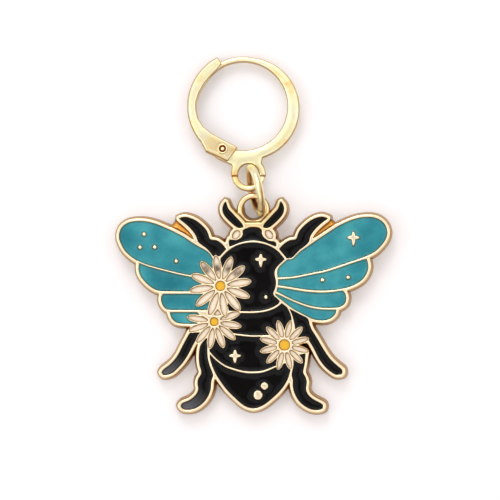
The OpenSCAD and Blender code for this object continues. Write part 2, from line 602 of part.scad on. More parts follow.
// Nodes.
module charm_plate() {
    color(gold)
        charm_frame()
            difference() {
                union() {
                    for (p = [wing_l1, wing_l2, wing_l3, wing_l4, wing_r1, wing_r2, wing_r3,
                        wing_r4, leg_fl, leg_fr, thorax, abdomen_1, abdomen_2, abdomen_3, leg_ml,
                        leg_hl, leg_mr, leg_hr, antenna_l, mirrored(antenna_l), head_cell])
                        prism(curve(grow(p, rim_w)), 0, plate_t);
                    prism(curve(ccw(web_l)), 0, floor_z);
                    prism(curve(ccw(web_r)), 0, floor_z);
                    prism(eye_l(rim_w), 0, plate_t);
                    prism(eye_r(rim_w), 0, plate_t);
                    daisy_a_solid(0, plate_t);
                    daisy_b_solid(0, plate_t);
                    daisy_c_solid(0, plate_t);
                    translate([eyelet[0], eyelet[1], eyelet_step])
                        cylinder(h = eyelet_t, r = eyelet_r);
                    prism([[-neck_w / 2, head_top - neck_step], [neck_w / 2, head_top - neck_step],
                        [neck_w / 2 - neck_step, head_top + neck_step],
                        [neck_step - neck_w / 2, head_top + neck_step]], 0, plate_t);
                }
                translate([eyelet[0], eyelet[1], -more])
                    cylinder(h = plate_t + 2 * more, r = eyelet_hole_r);
                wing_l1_cell(floor_z, plate_t + more);
                wing_l2_cell(floor_z, plate_t + more);
                wing_l3_cell(floor_z, plate_t + more);
                wing_l4_cell(floor_z, plate_t + more);
                wing_r1_cell(floor_z, plate_t + more);
                wing_r2_cell(floor_z, plate_t + more);
                wing_r3_cell(floor_z, plate_t + more);
                wing_r4_cell(floor_z, plate_t + more);
                thorax_cell(floor_z, plate_t + more);
                abdomen_1_cell(floor_z, plate_t + more);
                abdomen_2_cell(floor_z, plate_t + more);
                abdomen_3_cell(floor_z, plate_t + more);
                leg_fl_cell(floor_z, plate_t + more);
                leg_fr_cell(floor_z, plate_t + more);
                leg_ml_cell(floor_z, plate_t + more);
                leg_hl_cell(floor_z, plate_t + more);
                leg_mr_cell(floor_z, plate_t + more);
                leg_hr_cell(floor_z, plate_t + more);
                antenna_l_cell(floor_z, plate_t + more);
                antenna_r_cell(floor_z, plate_t + more);
                head_in(floor_z, plate_t + more);
                eye_l_cell(floor_z, plate_t + more);
                eye_r_cell(floor_z, plate_t + more);
                petals_a(floor_z, plate_t + more);
                petals_b(floor_z, plate_t + more);
                petals_c(floor_z, plate_t + more);
                centre(daisy_a, centre_a_r, floor_z, plate_t + more);
                centre(daisy_b, centre_b_r, floor_z, plate_t + more);
                centre(daisy_c, centre_c_r, floor_z, plate_t + more);
                prism(curve(ccw(notch)), floor_z, plate_t + more);
            }
}

module jump_ring() {
    open_a = ring_cut / ring_r * 180 / PI;
    color(gold)
        ring_frame()
            rotate([0, 0, cut_at + open_a / 2])
                rotate_extrude(angle = 360 - open_a)
                    translate([ring_r, 0])
                        circle(d = ring_wire);
}

module hoop() {
    color(gold)
        clasp_frame()
            difference() {
                union() {
                    difference() {
                        union() {
                            disc(wide_c, hoop_out_r, hoop_t);
                            disc(hoop_c, hoop_r_top, hoop_t);
                        }
                        disc(hoop_c, hoop_in_r, hoop_t + more);
                        flat([hoop_c + [-0.6, 0.4], hoop_c + [-5.2, 5.04], hoop_c + [-8, 0],
                            hoop_c + [-8, -8], rivet + [0, -4], rivet, rivet + [0.9, 0.9]],
                            hoop_t + more);
                    }
                    difference() {
                        disc(rivet, lug_r, hoop_t);
                        disc(hoop_c, hoop_in_r, hoop_t + more);
                    }
                    disc(rivet, inner_lug_r, hoop_t);
                    difference() {
                        union() {
                            flat([rivet + lug_r * unit([-0.43, -0.9]), loop_c + [-1.78, 0.98],
                                loop_c - [loop_out_r, 0], loop_c + [1.4, 0.6],
                                loop_c + [1.42, 1.3], loop_c + [1.55, 1.75],
                                loop_c + [1.64, 2.08], loop_c + [1.14, 3.08],
                                rivet + [0.3, 0.2]], hoop_t);
                            disc(loop_c, loop_out_r, hoop_t);
                        }
                        disc(hoop_c, hoop_in_r, hoop_t + more);
                        disc(loop_c, loop_hole_r, hoop_t + more);
                        flat([loop_c + [-3, -flat_low], loop_c + [-3, -4], loop_c + [3, -4],
                            loop_c + [3, -flat_low]], hoop_t + more);
                    }
                    translate([loop_c[0], loop_c[1], 0])
                        rotate([0, 0, 180 + wire_in])
                            rotate_extrude(angle = 180 - wire_in)
                                translate([loop_r, 0])
                                    circle(d = loop_wire);
                }
                disc(rivet, rivet_bore_r, hoop_t + more);
            }
}

module disc(c, r, t) {
    translate([c[0], c[1], -t / 2])
        cylinder(h = t, r = r);
}

module flat(points, t) {
    prism(points, -t / 2, t / 2);
}

// The lever's outline: its back runs on an arc, its mouth follows the hoop's opening, and
// its cheeks end in a plate around the rivet.
function back_arc(r) = [for (k = [0 : arc_parts])
    polar(lever_c, r, lever_a0 + (lever_a1 - lever_a0) * k / arc_parts)];
cheek_plate = [rivet + [-1.85, -0.28], rivet + [0.51, -1.39], rivet + [1.6, 0.2],
    rivet + [-1.13, 1.64]];
mouth = [for (q = [[0.02, 208.4], [0.24, 196.2], [0.31, 184.5], [0.31, 175.5], [0.19, 163.6],
    [0.06, 149.6], [0, 135.9], [0.07, 125.5], [0.35, 116.4]])
    polar(hoop_c, hoop_in_r + q[0], q[1])];
module lever() {
    color(gold)
        clasp_frame()
            difference() {
                flat(concat(back_arc(lever_r), cheek_plate, mouth), 2 * cheek_out);
                flat(concat([polar(hoop_c, lever_r + 0.7, 106.5)], back_arc(lever_r - sheet),
                    [rivet + [-1.59, -1.05], rivet + [-0.29, -2.05], rivet + [2.31, -2.05],
                    rivet + [2.31, 0.75], hoop_c + [-1.9, -1.4], hoop_c + [-2.87, 0.1],
                    hoop_c + [0.13, 3.1]]), 2 * cheek_in);
                disc(rivet, rivet_d / 2, 2 * cheek_out + more);
            }
}

module lever_rivet() {
    color(gold)
        clasp_frame()
            translate([rivet[0], rivet[1], 0])
                difference() {
                    union() {
                        translate([0, 0, -cheek_out])
                            cylinder(h = 2 * cheek_out, d = rivet_d);
                        for (s = [0, 1])
                            mirror([0, 0, s])
                                translate([0, 0, cheek_out])
                                    cylinder(h = rivet_head_t, r1 = rivet_head_r,
                                        r2 = rivet_head_r - rivet_head_t / 2);
                    }
                    for (s = [0, 1])
                        mirror([0, 0, s])
                            translate([0, 0, cheek_out])
                                cylinder(h = rivet_head_t + more, r = rivet_d / 2 - pin_rim);
                }
}

module fill(c, drop) {
    color(c)
        charm_frame()
            children();
}

module left_wing_enamel_1() {
    fill(teal) wing_l1_cell(floor_z, plate_t - enamel_drop);
}

module left_wing_enamel_2() {
    fill(teal) wing_l2_cell(floor_z, plate_t - enamel_drop);
}

module left_wing_enamel_3() {
    fill(teal) wing_l3_cell(floor_z, plate_t - enamel_drop);
}

module left_wing_enamel_4() {
    fill(teal) wing_l4_cell(floor_z, plate_t - enamel_drop);
}

module right_wing_enamel_1() {
    fill(teal) wing_r1_cell(floor_z, plate_t - enamel_drop);
}

module right_wing_enamel_2() {
    fill(teal) wing_r2_cell(floor_z, plate_t - enamel_drop);
}

module right_wing_enamel_3() {
    fill(teal) wing_r3_cell(floor_z, plate_t - enamel_drop);
}

module right_wing_enamel_4() {
    fill(teal) wing_r4_cell(floor_z, plate_t - enamel_drop);
}

module thorax_enamel() {
    fill(black) thorax_cell(floor_z, plate_t - enamel_drop);
}

module upper_abdomen_enamel() {
    fill(black) abdomen_1_cell(floor_z, plate_t - enamel_drop);
}

module middle_abdomen_enamel() {
    fill(black) abdomen_2_cell(floor_z, plate_t - enamel_drop);
}

module abdomen_tip_enamel() {
    fill(black) abdomen_3_cell(floor_z, plate_t - enamel_drop);
}

module head_enamel() {
    fill(black) head_in(floor_z, plate_t - enamel_drop);
}

module left_antenna_enamel() {
    fill(black) antenna_l_cell(floor_z, plate_t - enamel_drop);
}

module right_antenna_enamel() {
    fill(black) antenna_r_cell(floor_z, plate_t - enamel_drop);
}

module left_foreleg_enamel() {
    fill(black) leg_fl_cell(floor_z, plate_t - enamel_drop);
}

module right_foreleg_enamel() {
    fill(black) leg_fr_cell(floor_z, plate_t - enamel_drop);
}

module left_middle_leg_enamel() {
    fill(black) leg_ml_cell(floor_z, plate_t - enamel_drop);
}

module right_middle_leg_enamel() {
    fill(black) leg_mr_cell(floor_z, plate_t - enamel_drop);
}

module left_hind_leg_enamel() {
    fill(black) leg_hl_cell(floor_z, plate_t - enamel_drop);
}

module right_hind_leg_enamel() {
    fill(black) leg_hr_cell(floor_z, plate_t - enamel_drop);
}

module left_eye_enamel() {
    fill(white) eye_l_cell(floor_z, plate_t - petal_drop);
}

module right_eye_enamel() {
    fill(white) eye_r_cell(floor_z, plate_t - petal_drop);
}

module upper_daisy_petals() {
    fill(white) petals_a(floor_z, plate_t - petal_drop);
}

module left_daisy_petals() {
    fill(white) petals_b(floor_z, plate_t - petal_drop);
}

module right_daisy_petals() {
    fill(white) petals_c(floor_z, plate_t - petal_drop);
}

module upper_daisy_centre() {
    fill(yellow) centre(daisy_a, centre_a_r, floor_z, plate_t - petal_drop);
}

module left_daisy_centre() {
    fill(yellow) centre(daisy_b, centre_b_r, floor_z, plate_t - petal_drop);
}

module right_daisy_centre() {
    fill(yellow) centre(daisy_c, centre_c_r, floor_z, plate_t - petal_drop);
}

hoop();
lever();
lever_rivet();
jump_ring();
charm_plate();
left_wing_enamel_1();
left_wing_enamel_2();
left_wing_enamel_3();
left_wing_enamel_4();
right_wing_enamel_1();
right_wing_enamel_2();
right_wing_enamel_3();
right_wing_enamel_4();
thorax_enamel();
upper_abdomen_enamel();
middle_abdomen_enamel();
abdomen_tip_enamel();
head_enamel();
left_antenna_enamel();
right_antenna_enamel();
left_foreleg_enamel();
right_foreleg_enamel();
left_middle_leg_enamel();
right_middle_leg_enamel();
left_hind_leg_enamel();
right_hind_leg_enamel();
left_eye_enamel();
right_eye_enamel();
upper_daisy_petals();
left_daisy_petals();
right_daisy_petals();
upper_daisy_centre();
left_daisy_centre();
right_daisy_centre();
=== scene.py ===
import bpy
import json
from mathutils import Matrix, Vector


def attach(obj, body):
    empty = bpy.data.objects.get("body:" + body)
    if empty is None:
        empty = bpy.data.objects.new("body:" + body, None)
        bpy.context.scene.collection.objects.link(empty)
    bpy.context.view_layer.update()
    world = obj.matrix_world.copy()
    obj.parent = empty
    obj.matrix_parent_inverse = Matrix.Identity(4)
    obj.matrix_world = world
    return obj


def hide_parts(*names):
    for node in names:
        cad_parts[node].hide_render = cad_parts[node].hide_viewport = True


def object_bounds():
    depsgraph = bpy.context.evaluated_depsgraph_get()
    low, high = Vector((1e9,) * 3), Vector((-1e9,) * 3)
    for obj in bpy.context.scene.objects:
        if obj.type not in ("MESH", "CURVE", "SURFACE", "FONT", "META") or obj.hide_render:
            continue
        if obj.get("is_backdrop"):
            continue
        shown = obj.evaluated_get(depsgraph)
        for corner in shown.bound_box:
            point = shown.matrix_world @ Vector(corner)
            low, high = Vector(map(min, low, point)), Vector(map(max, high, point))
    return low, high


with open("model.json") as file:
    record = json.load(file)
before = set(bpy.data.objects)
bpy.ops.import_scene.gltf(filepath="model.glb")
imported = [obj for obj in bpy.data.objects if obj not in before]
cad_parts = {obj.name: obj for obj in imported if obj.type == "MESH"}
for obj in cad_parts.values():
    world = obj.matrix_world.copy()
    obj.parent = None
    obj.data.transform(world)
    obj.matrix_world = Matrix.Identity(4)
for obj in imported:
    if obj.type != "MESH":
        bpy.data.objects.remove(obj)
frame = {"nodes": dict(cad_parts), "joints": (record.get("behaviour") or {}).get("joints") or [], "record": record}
cad_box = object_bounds()

# %% [markdown]
# Blender works in metres, and the pieces are measured in millimetres, so one constant turns
# one into the other. The joints of the record say where the charm and the clasp lie and
# which way is up on each, because both rest at a slight tilt.
# %% Units and directions
import json
import math

import bmesh
import bpy
import numpy as np
from mathutils import Matrix, Vector, noise
from mathutils.kdtree import KDTree

MM = 0.001
joints = {j["name"]: j for j in frame["joints"]}
charm_up = Vector(joints["charm_sway"]["axis"])
charm_back = Vector(next(m["pos_m"] for m in frame["record"]["mounts"] if m["name"] == "charm_back"))
clasp_up = Vector(joints["lever_hinge"]["axis"])
rivet_at = Vector(joints["lever_hinge"]["pos_m"])
ring_axis = Vector(joints["ring_turn"]["axis"])
ring_at = Vector(joints["ring_turn"]["pos_m"])
eyelet_at = Vector(joints["charm_sway"]["pos_m"])
print("charm tilt", round(math.degrees(math.asin(-charm_up.y)), 2), "degrees")


def height(point):
    """Height of a point above the charm's back, in mm."""
    return (point - charm_back).dot(charm_up) / MM


def clamped(x):
    """A number kept between 0 and 1."""
    return min(1.0, max(0.0, x))


# %% [markdown]
# The photograph was taken from almost straight above: the right and lower sides of every
# part just show, so the camera stands 3 degrees off the vertical towards the lower right,
# which is 2.1 degrees about each of two axes. A long lens from far away keeps the sides
# from showing more than they should. The picture is square, and its width at the height of
# the charm's top is 53.76 mm.
# %% Camera
picture_w = 53.76 * MM
picture_centre = Vector((-0.34, -1.694, 1.6)) * MM
off_vertical = math.radians(2.1)
camera_data = bpy.data.cameras.new("camera")
camera_data.lens = 180
camera_data.sensor_width = 36
camera = bpy.data.objects.new("camera", camera_data)
bpy.context.scene.collection.objects.link(camera)
camera.rotation_euler = (off_vertical, off_vertical, 0)
camera_far = picture_w * camera_data.lens / camera_data.sensor_width
camera.location = picture_centre + camera.rotation_euler.to_matrix() @ Vector((0, 0, camera_far))
bpy.context.scene.camera = camera
bpy.context.scene.view_settings.view_transform = "Standard"
print("camera", [round(c / MM, 1) for c in camera.location], "mm")

# %% [markdown]
# Materials are node trees. One small function adds a node, sets its properties and fills or
# links its inputs. Colours are written as they look on screen and turned to linear light,
# which is what the renderer adds up.
# %% Material helpers


def linear(code):
    """A screen colour such as "#3C9CA6" as linear red, green, blue and alpha."""
    parts = [int(code[i : i + 2], 16) / 255 for i in (1, 3, 5)]
    return [c / 12.92 if c <= 0.04045 else ((c + 0.055) / 1.055) ** 2.4 for c in parts] + [1]


def add(tree, kind, inputs=None, stops=(), **settings):
    """Adds a node. A value that is an output socket is linked, any other value is set.

    Stops are the (place, colour) pairs of a colour ramp.
    """
    node = tree.nodes.new(kind)
    for name, value in settings.items():
        setattr(node, name, value)
    for name, value in (inputs or {}).items():
        socket = node.inputs[name]
        if isinstance(value, bpy.types.NodeSocket):
            tree.links.new(value, socket)
        else:
            socket.default_value = value
    if stops:
        marks = node.color_ramp.elements
        while len(marks) < len(stops):
            marks.new(0.5)
        for mark, (at, code) in zip(marks, stops):
            mark.position = at
            mark.color = linear(code)
    return node


def new_material(name):
    """An empty material, and the tree to fill."""
    material = bpy.data.materials.new(name)
    material.use_nodes = True
    material.node_tree.nodes.clear()
    print("material:", name)
    return material, material.node_tree


print("middle grey #808080 is", round(linear("#808080")[0], 3), "in linear light")

# %% [markdown]
# The charm is a zinc casting with a champagne gold plate. The polished wall tops are pale
# champagne. Down the sides the colour is painted a duller khaki gold, and brown lower down:
# painted shade on sides that face away from the light. The bare webs between the walls,
# which lie in one narrow band of heights, are a warm orange. Instead of painting all this by
# hand, each vertex carries its height ("level"), lowered as painted shade at the rims of the
# wall tops, and a colour ramp follows it. The flat back was polished too, and is evenly gold
# ("under"). Round the eyelet the plate is painted yellower ("by_eyelet"), a painted
# reflection of gold mirroring gold.
#
# A noise texture's scale counts patches per metre: 900 gives patches of 1.1 mm, the slight
# unevenness of the plate, and 5200 a grain of 0.2 mm.
# %% Champagne gold plate on the casting
charm_gold, tree = new_material("champagne_gold_plate_cast")
place = add(tree, "ShaderNodeTexCoord").outputs["Object"]
level = add(tree, "ShaderNodeAttribute", attribute_name="level").outputs["Fac"]
mottle = add(tree, "ShaderNodeTexNoise", {"Vector": place, "Scale": 900, "Detail": 3}).outputs["Fac"]
centred = add(tree, "ShaderNodeMath", {0: mottle, 1: 0.5}, operation="SUBTRACT")
shifted = add(
    tree, "ShaderNodeMath", {0: centred.outputs[0], 1: 0.12, 2: level}, operation="MULTIPLY_ADD"
)
# Low levels are painted shade: the sides turn khaki, then brown towards the back, and the rims of the wall tops
# are darker.
plate_and_shade_stops = [
    (0.0, "#886434"),
    (0.3, "#AA8248"),
    (0.41, "#B48A4E"),
    (0.43, "#DA9A48"),
    (0.46, "#DA9A48"),
    (0.48, "#B68A4C"),
    (0.7, "#A47E48"),
    (0.86, "#EACC98"),
    (0.95, "#FFF0D0"),
]
plate_and_shade_colour = add(tree, "ShaderNodeValToRGB", {"Fac": shifted.outputs[0]}, plate_and_shade_stops)
on_back = add(tree, "ShaderNodeAttribute", attribute_name="under").outputs["Fac"]
whole_colour = add(
    tree,
    "ShaderNodeMix",
    {0: on_back, 6: plate_and_shade_colour.outputs["Color"], 7: linear("#F2D4A2")},
    data_type="RGBA",
)
# Painted reflection: by the eyelet the colour is multiplied towards a yellower gold.
near_eyelet = add(tree, "ShaderNodeAttribute", attribute_name="by_eyelet").outputs["Fac"]
warm_colour = add(
    tree,
    "ShaderNodeMix",
    {0: near_eyelet, 6: whole_colour.outputs[2], 7: linear("#FFF9E0")},
    data_type="RGBA",
    blend_type="MULTIPLY",
)
grain = add(tree, "ShaderNodeTexNoise", {"Vector": place, "Scale": 5200, "Detail": 2}).outputs["Fac"]
bump = add(tree, "ShaderNodeBump", {"Height": grain, "Strength": 0.12, "Distance": 0.03 * MM})
rough = add(tree, "ShaderNodeMapRange", {"Value": mottle, "To Min": 0.26, "To Max": 0.38})
charm_shader = add(
    tree,
    "ShaderNodeBsdfPrincipled",
    {
        "Base Color": warm_colour.outputs[2],
        "Metallic": 1.0,
        "Roughness": rough.outputs[0],
        "Normal": bump.outputs[0],
    },
)
add(tree, "ShaderNodeOutputMaterial", {"Surface": charm_shader.outputs[0]})

# %% [markdown]
# The clasp and the ring are stamped brass and brass wire with a bright pale gold plate,
# tumbled smooth. The eye sees a buttery yellow mirror, a little blurred, with warmer orange
# patches where the plate is thin: a scale of 420 makes them about 2.4 mm wide. A finer
# noise of 1300, or 0.8 mm, dents the surface very slightly, as tumbling does. The cut and
# bent parts, the crease and the grooves are painted darker and browner, as painted shade,
# and a vertex attribute says where, because no texture could know.
# %% Pale gold plate on the clasp
clasp_gold, tree = new_material("pale_gold_plate_polished")
place = add(tree, "ShaderNodeTexCoord").outputs["Object"]
patches = add(
    tree, "ShaderNodeTexNoise", {"Vector": place, "Scale": 420, "Detail": 4, "Roughness": 0.6}
).outputs["Fac"]
patch_stops = [(0.42, "#FFFBD6"), (0.54, "#FFF5C2"), (0.64, "#FDDE9C"), (0.76, "#E8AA60")]
patch_colour = add(tree, "ShaderNodeValToRGB", {"Fac": patches}, patch_stops)
# Painted shade: the mix towards #A86828 on cut sides, edges, the crease, the rivet's grooves and the ring's wire.
shade_mask = add(tree, "ShaderNodeAttribute", attribute_name="painted_shade").outputs["Fac"]
plate_with_shade = add(
    tree,
    "ShaderNodeMix",
    {0: shade_mask, 6: patch_colour.outputs["Color"], 7: linear("#A86828")},
    data_type="RGBA",
)
fine = add(tree, "ShaderNodeTexNoise", {"Vector": place, "Scale": 1300, "Detail": 3}).outputs["Fac"]
bump = add(tree, "ShaderNodeBump", {"Height": fine, "Strength": 0.5, "Distance": 0.06 * MM})
rough = add(tree, "ShaderNodeMapRange", {"Value": patches, "To Min": 0.28, "To Max": 0.42})
clasp_shader = add(
    tree,
    "ShaderNodeBsdfPrincipled",
    {
        "Base Color": plate_with_shade.outputs[2],
        "Metallic": 1.0,
        "Roughness": rough.outputs[0],
        "Normal": bump.outputs[0],
    },
)
add(tree, "ShaderNodeOutputMaterial", {"Surface": clasp_shader.outputs[0]})

# %% [markdown]
# Soft enamel is a baked, glossy paint that is poured into each cell. It creeps up the walls
# a little and shrinks as it sets, so its surface is wavy over a few millimetres: a noise
# scale of 500 gives waves of 2 mm. The black is deep and only shows soft reflections, so
# its gloss is held low. On the tips of the two left legs the enamel is painted grey, a
# painted reflection of a lamp, which a vertex attribute marks.
# %% Black enamel
black_enamel, tree = new_material("black_enamel_baked_gloss")
place = add(tree, "ShaderNodeTexCoord").outputs["Object"]
wave = add(tree, "ShaderNodeTexNoise", {"Vector": place, "Scale": 500, "Detail": 2}).outputs["Fac"]
deep_colour = add(tree, "ShaderNodeValToRGB", {"Fac": wave}, [(0.35, "#020203"), (0.7, "#09080A")])
# Painted reflection: the mix towards grey #5A5A60 at the left leg tips.
sheen_mask = add(tree, "ShaderNodeAttribute", attribute_name="thin_and_sheen").outputs["Fac"]
black_colour = add(
    tree,
    "ShaderNodeMix",
    {0: sheen_mask, 6: deep_colour.outputs["Color"], 7: linear("#5A5A60")},
    data_type="RGBA",
)
bump = add(tree, "ShaderNodeBump", {"Height": wave, "Strength": 0.25, "Distance": 0.2 * MM})
black_shader = add(
    tree,
    "ShaderNodeBsdfPrincipled",
    {
        "Base Color": black_colour.outputs[2],
        "Roughness": 0.13,
        "IOR": 1.5,
        "Specular IOR Level": 0.17,
        "Normal": bump.outputs[0],
    },
)
add(tree, "ShaderNodeOutputMaterial", {"Surface": black_shader.outputs[0]})

# %% [markdown]
# The teal of the wings is a little translucent: it looks deeper close to the walls, where
# the colour pools, and the same darkening stands in for the shade along the walls, so it is
# partly painted shade. Its pigment has settled in faint clouds of about 3 mm, a scale of
# 320. Real translucency would be slow to render in so thin a layer. Each vertex of a fill
# carries its distance to the nearest wall ("from_wall"), and the colour follows it instead.
# %% Teal enamel
teal_enamel, tree = new_material("teal_enamel_baked_gloss")
place = add(tree, "ShaderNodeTexCoord").outputs["Object"]
wall = add(tree, "ShaderNodeAttribute", attribute_name="from_wall").outputs["Fac"]
cloud = add(
    tree, "ShaderNodeTexNoise", {"Vector": place, "Scale": 320, "Detail": 4, "Roughness": 0.5}
).outputs["Fac"]
cloud_stops = [(0.28, "#1A7482"), (0.5, "#2F8A97"), (0.74, "#48A3AC")]
cloud_colour = add(tree, "ShaderNodeValToRGB", {"Fac": cloud}, cloud_stops)
# Near the walls the multiply darkens the teal: the deeper pooled colour, and partly painted shade.
pool_and_shade_stops = [(0.0, "#B4B890"), (0.06, "#D6DFD2"), (0.2, "#FFFFFF")]
pool_and_shade_colour = add(tree, "ShaderNodeValToRGB", {"Fac": wall}, pool_and_shade_stops)
teal_colour = add(
    tree,
    "ShaderNodeMix",
    {0: 1.0, 6: cloud_colour.outputs["Color"], 7: pool_and_shade_colour.outputs["Color"]},
    data_type="RGBA",
    blend_type="MULTIPLY",
)
bump = add(tree, "ShaderNodeBump", {"Height": cloud, "Strength": 0.12, "Distance": 0.2 * MM})
teal_shader = add(
    tree,
    "ShaderNodeBsdfPrincipled",
    {
        "Base Color": teal_colour.outputs[2],
        "Roughness": 0.2,
        "IOR": 1.5,
        "Specular IOR Level": 0.35,
        "Normal": bump.outputs[0],
    },
)
add(tree, "ShaderNodeOutputMaterial", {"Surface": teal_shader.outputs[0]})

# %% [markdown]
# The petals and eyes are a thin cream enamel with a satin gloss. Along the walls it is
# painted brown, unevenly, by specks of 0.4 mm, a scale of 2400: painted shade where the
# walls rise over it. Four petals of the upper daisy have a thin spot, which a vertex
# attribute marks, and the same specks break up its outline.
# %% Cream enamel
cream_enamel, tree = new_material("cream_enamel_baked_satin")
place = add(tree, "ShaderNodeTexCoord").outputs["Object"]
wall = add(tree, "ShaderNodeAttribute", attribute_name="from_wall").outputs["Fac"]
speck = add(tree, "ShaderNodeTexNoise", {"Vector": place, "Scale": 2400, "Detail": 3}).outputs["Fac"]
uneven = add(tree, "ShaderNodeMath", {0: speck, 1: 0.12, 2: wall}, operation="MULTIPLY_ADD")
# Painted shade: the brown stops near the walls.
cream_stops = [(0.05, "#80602F"), (0.1, "#B3946A"), (0.16, "#DCCBB2"), (0.35, "#F0E2CE")]
full_colour = add(tree, "ShaderNodeValToRGB", {"Fac": uneven.outputs[0]}, cream_stops)
thin_spot = add(tree, "ShaderNodeAttribute", attribute_name="thin_and_sheen").outputs["Fac"]
blotch = add(tree, "ShaderNodeMath", {0: speck, 1: 2.4}, operation="MULTIPLY")
worn = add(
    tree, "ShaderNodeMath", {0: thin_spot, 1: blotch.outputs[0]}, operation="MULTIPLY", use_clamp=True
)
cream_colour = add(
    tree,
    "ShaderNodeMix",
    {0: worn.outputs[0], 6: full_colour.outputs["Color"], 7: linear("#6E5C44")},
    data_type="RGBA",
)
bump = add(tree, "ShaderNodeBump", {"Height": speck, "Strength": 0.1, "Distance": 0.1 * MM})
cream_shader = add(
    tree,
    "ShaderNodeBsdfPrincipled",
    {
        "Base Color": cream_colour.outputs[2],
        "Roughness": 0.42,
        "IOR": 1.5,
        "Normal": bump.outputs[0],
    },
)
add(tree, "ShaderNodeOutputMaterial", {"Surface": cream_shader.outputs[0]})

# %% [markdown]
# The daisy centres are a warm yellow enamel, glossier than the cream and more orange along
# the ring around them, with an uneven edge of 0.55 mm specks, a scale of 1800.
# %% Yellow enamel
yellow_enamel, tree = new_material("yellow_enamel_baked_gloss")
place = add(tree, "ShaderNodeTexCoord").outputs["Object"]
wall = add(tree, "ShaderNodeAttribute", attribute_name="from_wall").outputs["Fac"]
speck = add(tree, "ShaderNodeTexNoise", {"Vector": place, "Scale": 1800, "Detail": 2}).outputs["Fac"]
uneven = add(tree, "ShaderNodeMath", {0: speck, 1: 0.2, 2: wall}, operation="MULTIPLY_ADD")
yellow_stops = [(0.08, "#B98B22"), (0.2, "#DFA926"), (0.45, "#E8B52E")]
yellow_colour = add(tree, "ShaderNodeValToRGB", {"Fac": uneven.outputs[0]}, yellow_stops)
bump = add(tree, "ShaderNodeBump", {"Height": speck, "Strength": 0.1, "Distance": 0.1 * MM})
yellow_shader = add(
    tree,
    "ShaderNodeBsdfPrincipled",
    {
        "Base Color": yellow_colour.outputs["Color"],
        "Roughness": 0.25,
        "IOR": 1.5,
        "Normal": bump.outputs[0],
    },
)
add(tree, "ShaderNodeOutputMaterial", {"Surface": yellow_shader.outputs[0]})

# %% [markdown]
# The floor is a plain pale table. To the camera, and in the metal that mirrors it, it looks
# almost white, yet it keeps the object's soft shadow: it is a pale matt surface with a
# little added white, which other rays don't see, so that it throws no extra light on the
# object. Its faint unevenness is 17 mm wide, a scale of 60.
# %% Floor
table_half = 0.6


def any_ray(tree, kinds):
    """1 for rays of any of the named kinds, else 0."""
    path = add(tree, "ShaderNodeLightPath").outputs
    found = path[kinds[0]]
    for kind in kinds[1:]:
        found = add(tree, "ShaderNodeMath", {0: found, 1: path[kind]}, operation="MAXIMUM").outputs[0]
    return found


bm = bmesh.new()
bmesh.ops.create_grid(bm, x_segments=1, y_segments=1, size=table_half)
floor_mesh = bpy.data.meshes.new("floor")
bm.to_mesh(floor_mesh)
bm.free()
floor = bpy.data.objects.new("floor", floor_mesh)
bpy.context.scene.collection.objects.link(floor)
floor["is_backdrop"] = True
table_white, tree = new_material("matt_white_table")
place = add(tree, "ShaderNodeTexCoord").outputs["Object"]
drift = add(tree, "ShaderNodeTexNoise", {"Vector": place, "Scale": 60, "Detail": 3}).outputs["Fac"]
table_colour = add(tree, "ShaderNodeValToRGB", {"Fac": drift}, [(0.3, "#E6E5E8"), (0.7, "#E9E7EA")])
matt = add(tree, "ShaderNodeBsdfDiffuse", {"Color": table_colour.outputs["Color"]})
glow = add(tree, "ShaderNodeEmission", {"Color": linear("#FFFDFE"), "Strength": 0.15})
glowing = add(tree, "ShaderNodeAddShader", {0: matt.outputs[0], 1: glow.outputs[0]})
sees_glow = any_ray(tree, ("Is Camera Ray", "Is Glossy Ray", "Is Transmission Ray"))
table_mix = add(tree, "ShaderNodeMixShader", {0: sees_glow, 1: matt.outputs[0], 2: glowing.outputs[0]})
add(tree, "ShaderNodeOutputMaterial", {"Surface": table_mix.outputs[0]})
floor_mesh.materials.append(table_white)
print("floor", round(2 * table_half / MM), "mm wide")

# %% [markdown]
# The room is bright and even, as inside a light tent. Two places differ. Right overhead,
# where the camera looks through the tent, there is a darker spot, which keeps the flat
# black enamel deep. Low down, and highest towards the lower right, the tent turns to a warm
# brown that the steep metal edges mirror. Past the table's edge the camera sees plain
# white, while metal and enamel mirror the room, which is as white apart from those two
# places. Two colour ramps make the two places, one by how steeply a ray rises and one by
# its rise along a direction that leans towards the upper left.
# %% Room
world = bpy.data.worlds.new("room")
bpy.context.scene.world = world
world.use_nodes = True
tree = world.node_tree
tree.nodes.clear()
toward = add(tree, "ShaderNodeTexCoord").outputs["Generated"]
rise = add(tree, "ShaderNodeSeparateXYZ", {"Vector": toward}).outputs["Z"]
overhead_stops = [(0.0, "#FFFFFF"), (0.972, "#FFFFFF"), (0.988, "#90877A")]
overhead = add(tree, "ShaderNodeValToRGB", {"Fac": rise}, overhead_stops)
lean = add(tree, "ShaderNodeVectorMath", {0: toward, 1: (-0.1, 0.16, 1)}, operation="DOT_PRODUCT")
upward = add(
    tree, "ShaderNodeMath", {0: lean.outputs["Value"], 1: 0.5, 2: 0.5}, operation="MULTIPLY_ADD"
)
screen_stops = [
    (0.1, "#FFFEFE"),
    (0.4, "#D2C4B2"),
    (0.5, "#6E5236"),
    (0.625, "#92785A"),
    (0.75, "#F6F0E8"),
    (0.85, "#FFFEFE"),
]
screens = add(tree, "ShaderNodeValToRGB", {"Fac": upward.outputs[0]}, screen_stops)
tent_colour = add(
    tree,
    "ShaderNodeMix",
    {0: 1.0, 6: screens.outputs["Color"], 7: overhead.outputs["Color"]},
    data_type="RGBA",
    blend_type="MULTIPLY",
)
around = add(tree, "ShaderNodeBackground", {"Color": tent_colour.outputs[2], "Strength": 1.15})
behind = add(tree, "ShaderNodeBackground", {"Color": linear("#FFFDFE"), "Strength": 1.0})
sees_white = any_ray(tree, ("Is Camera Ray", "Is Transmission Ray"))
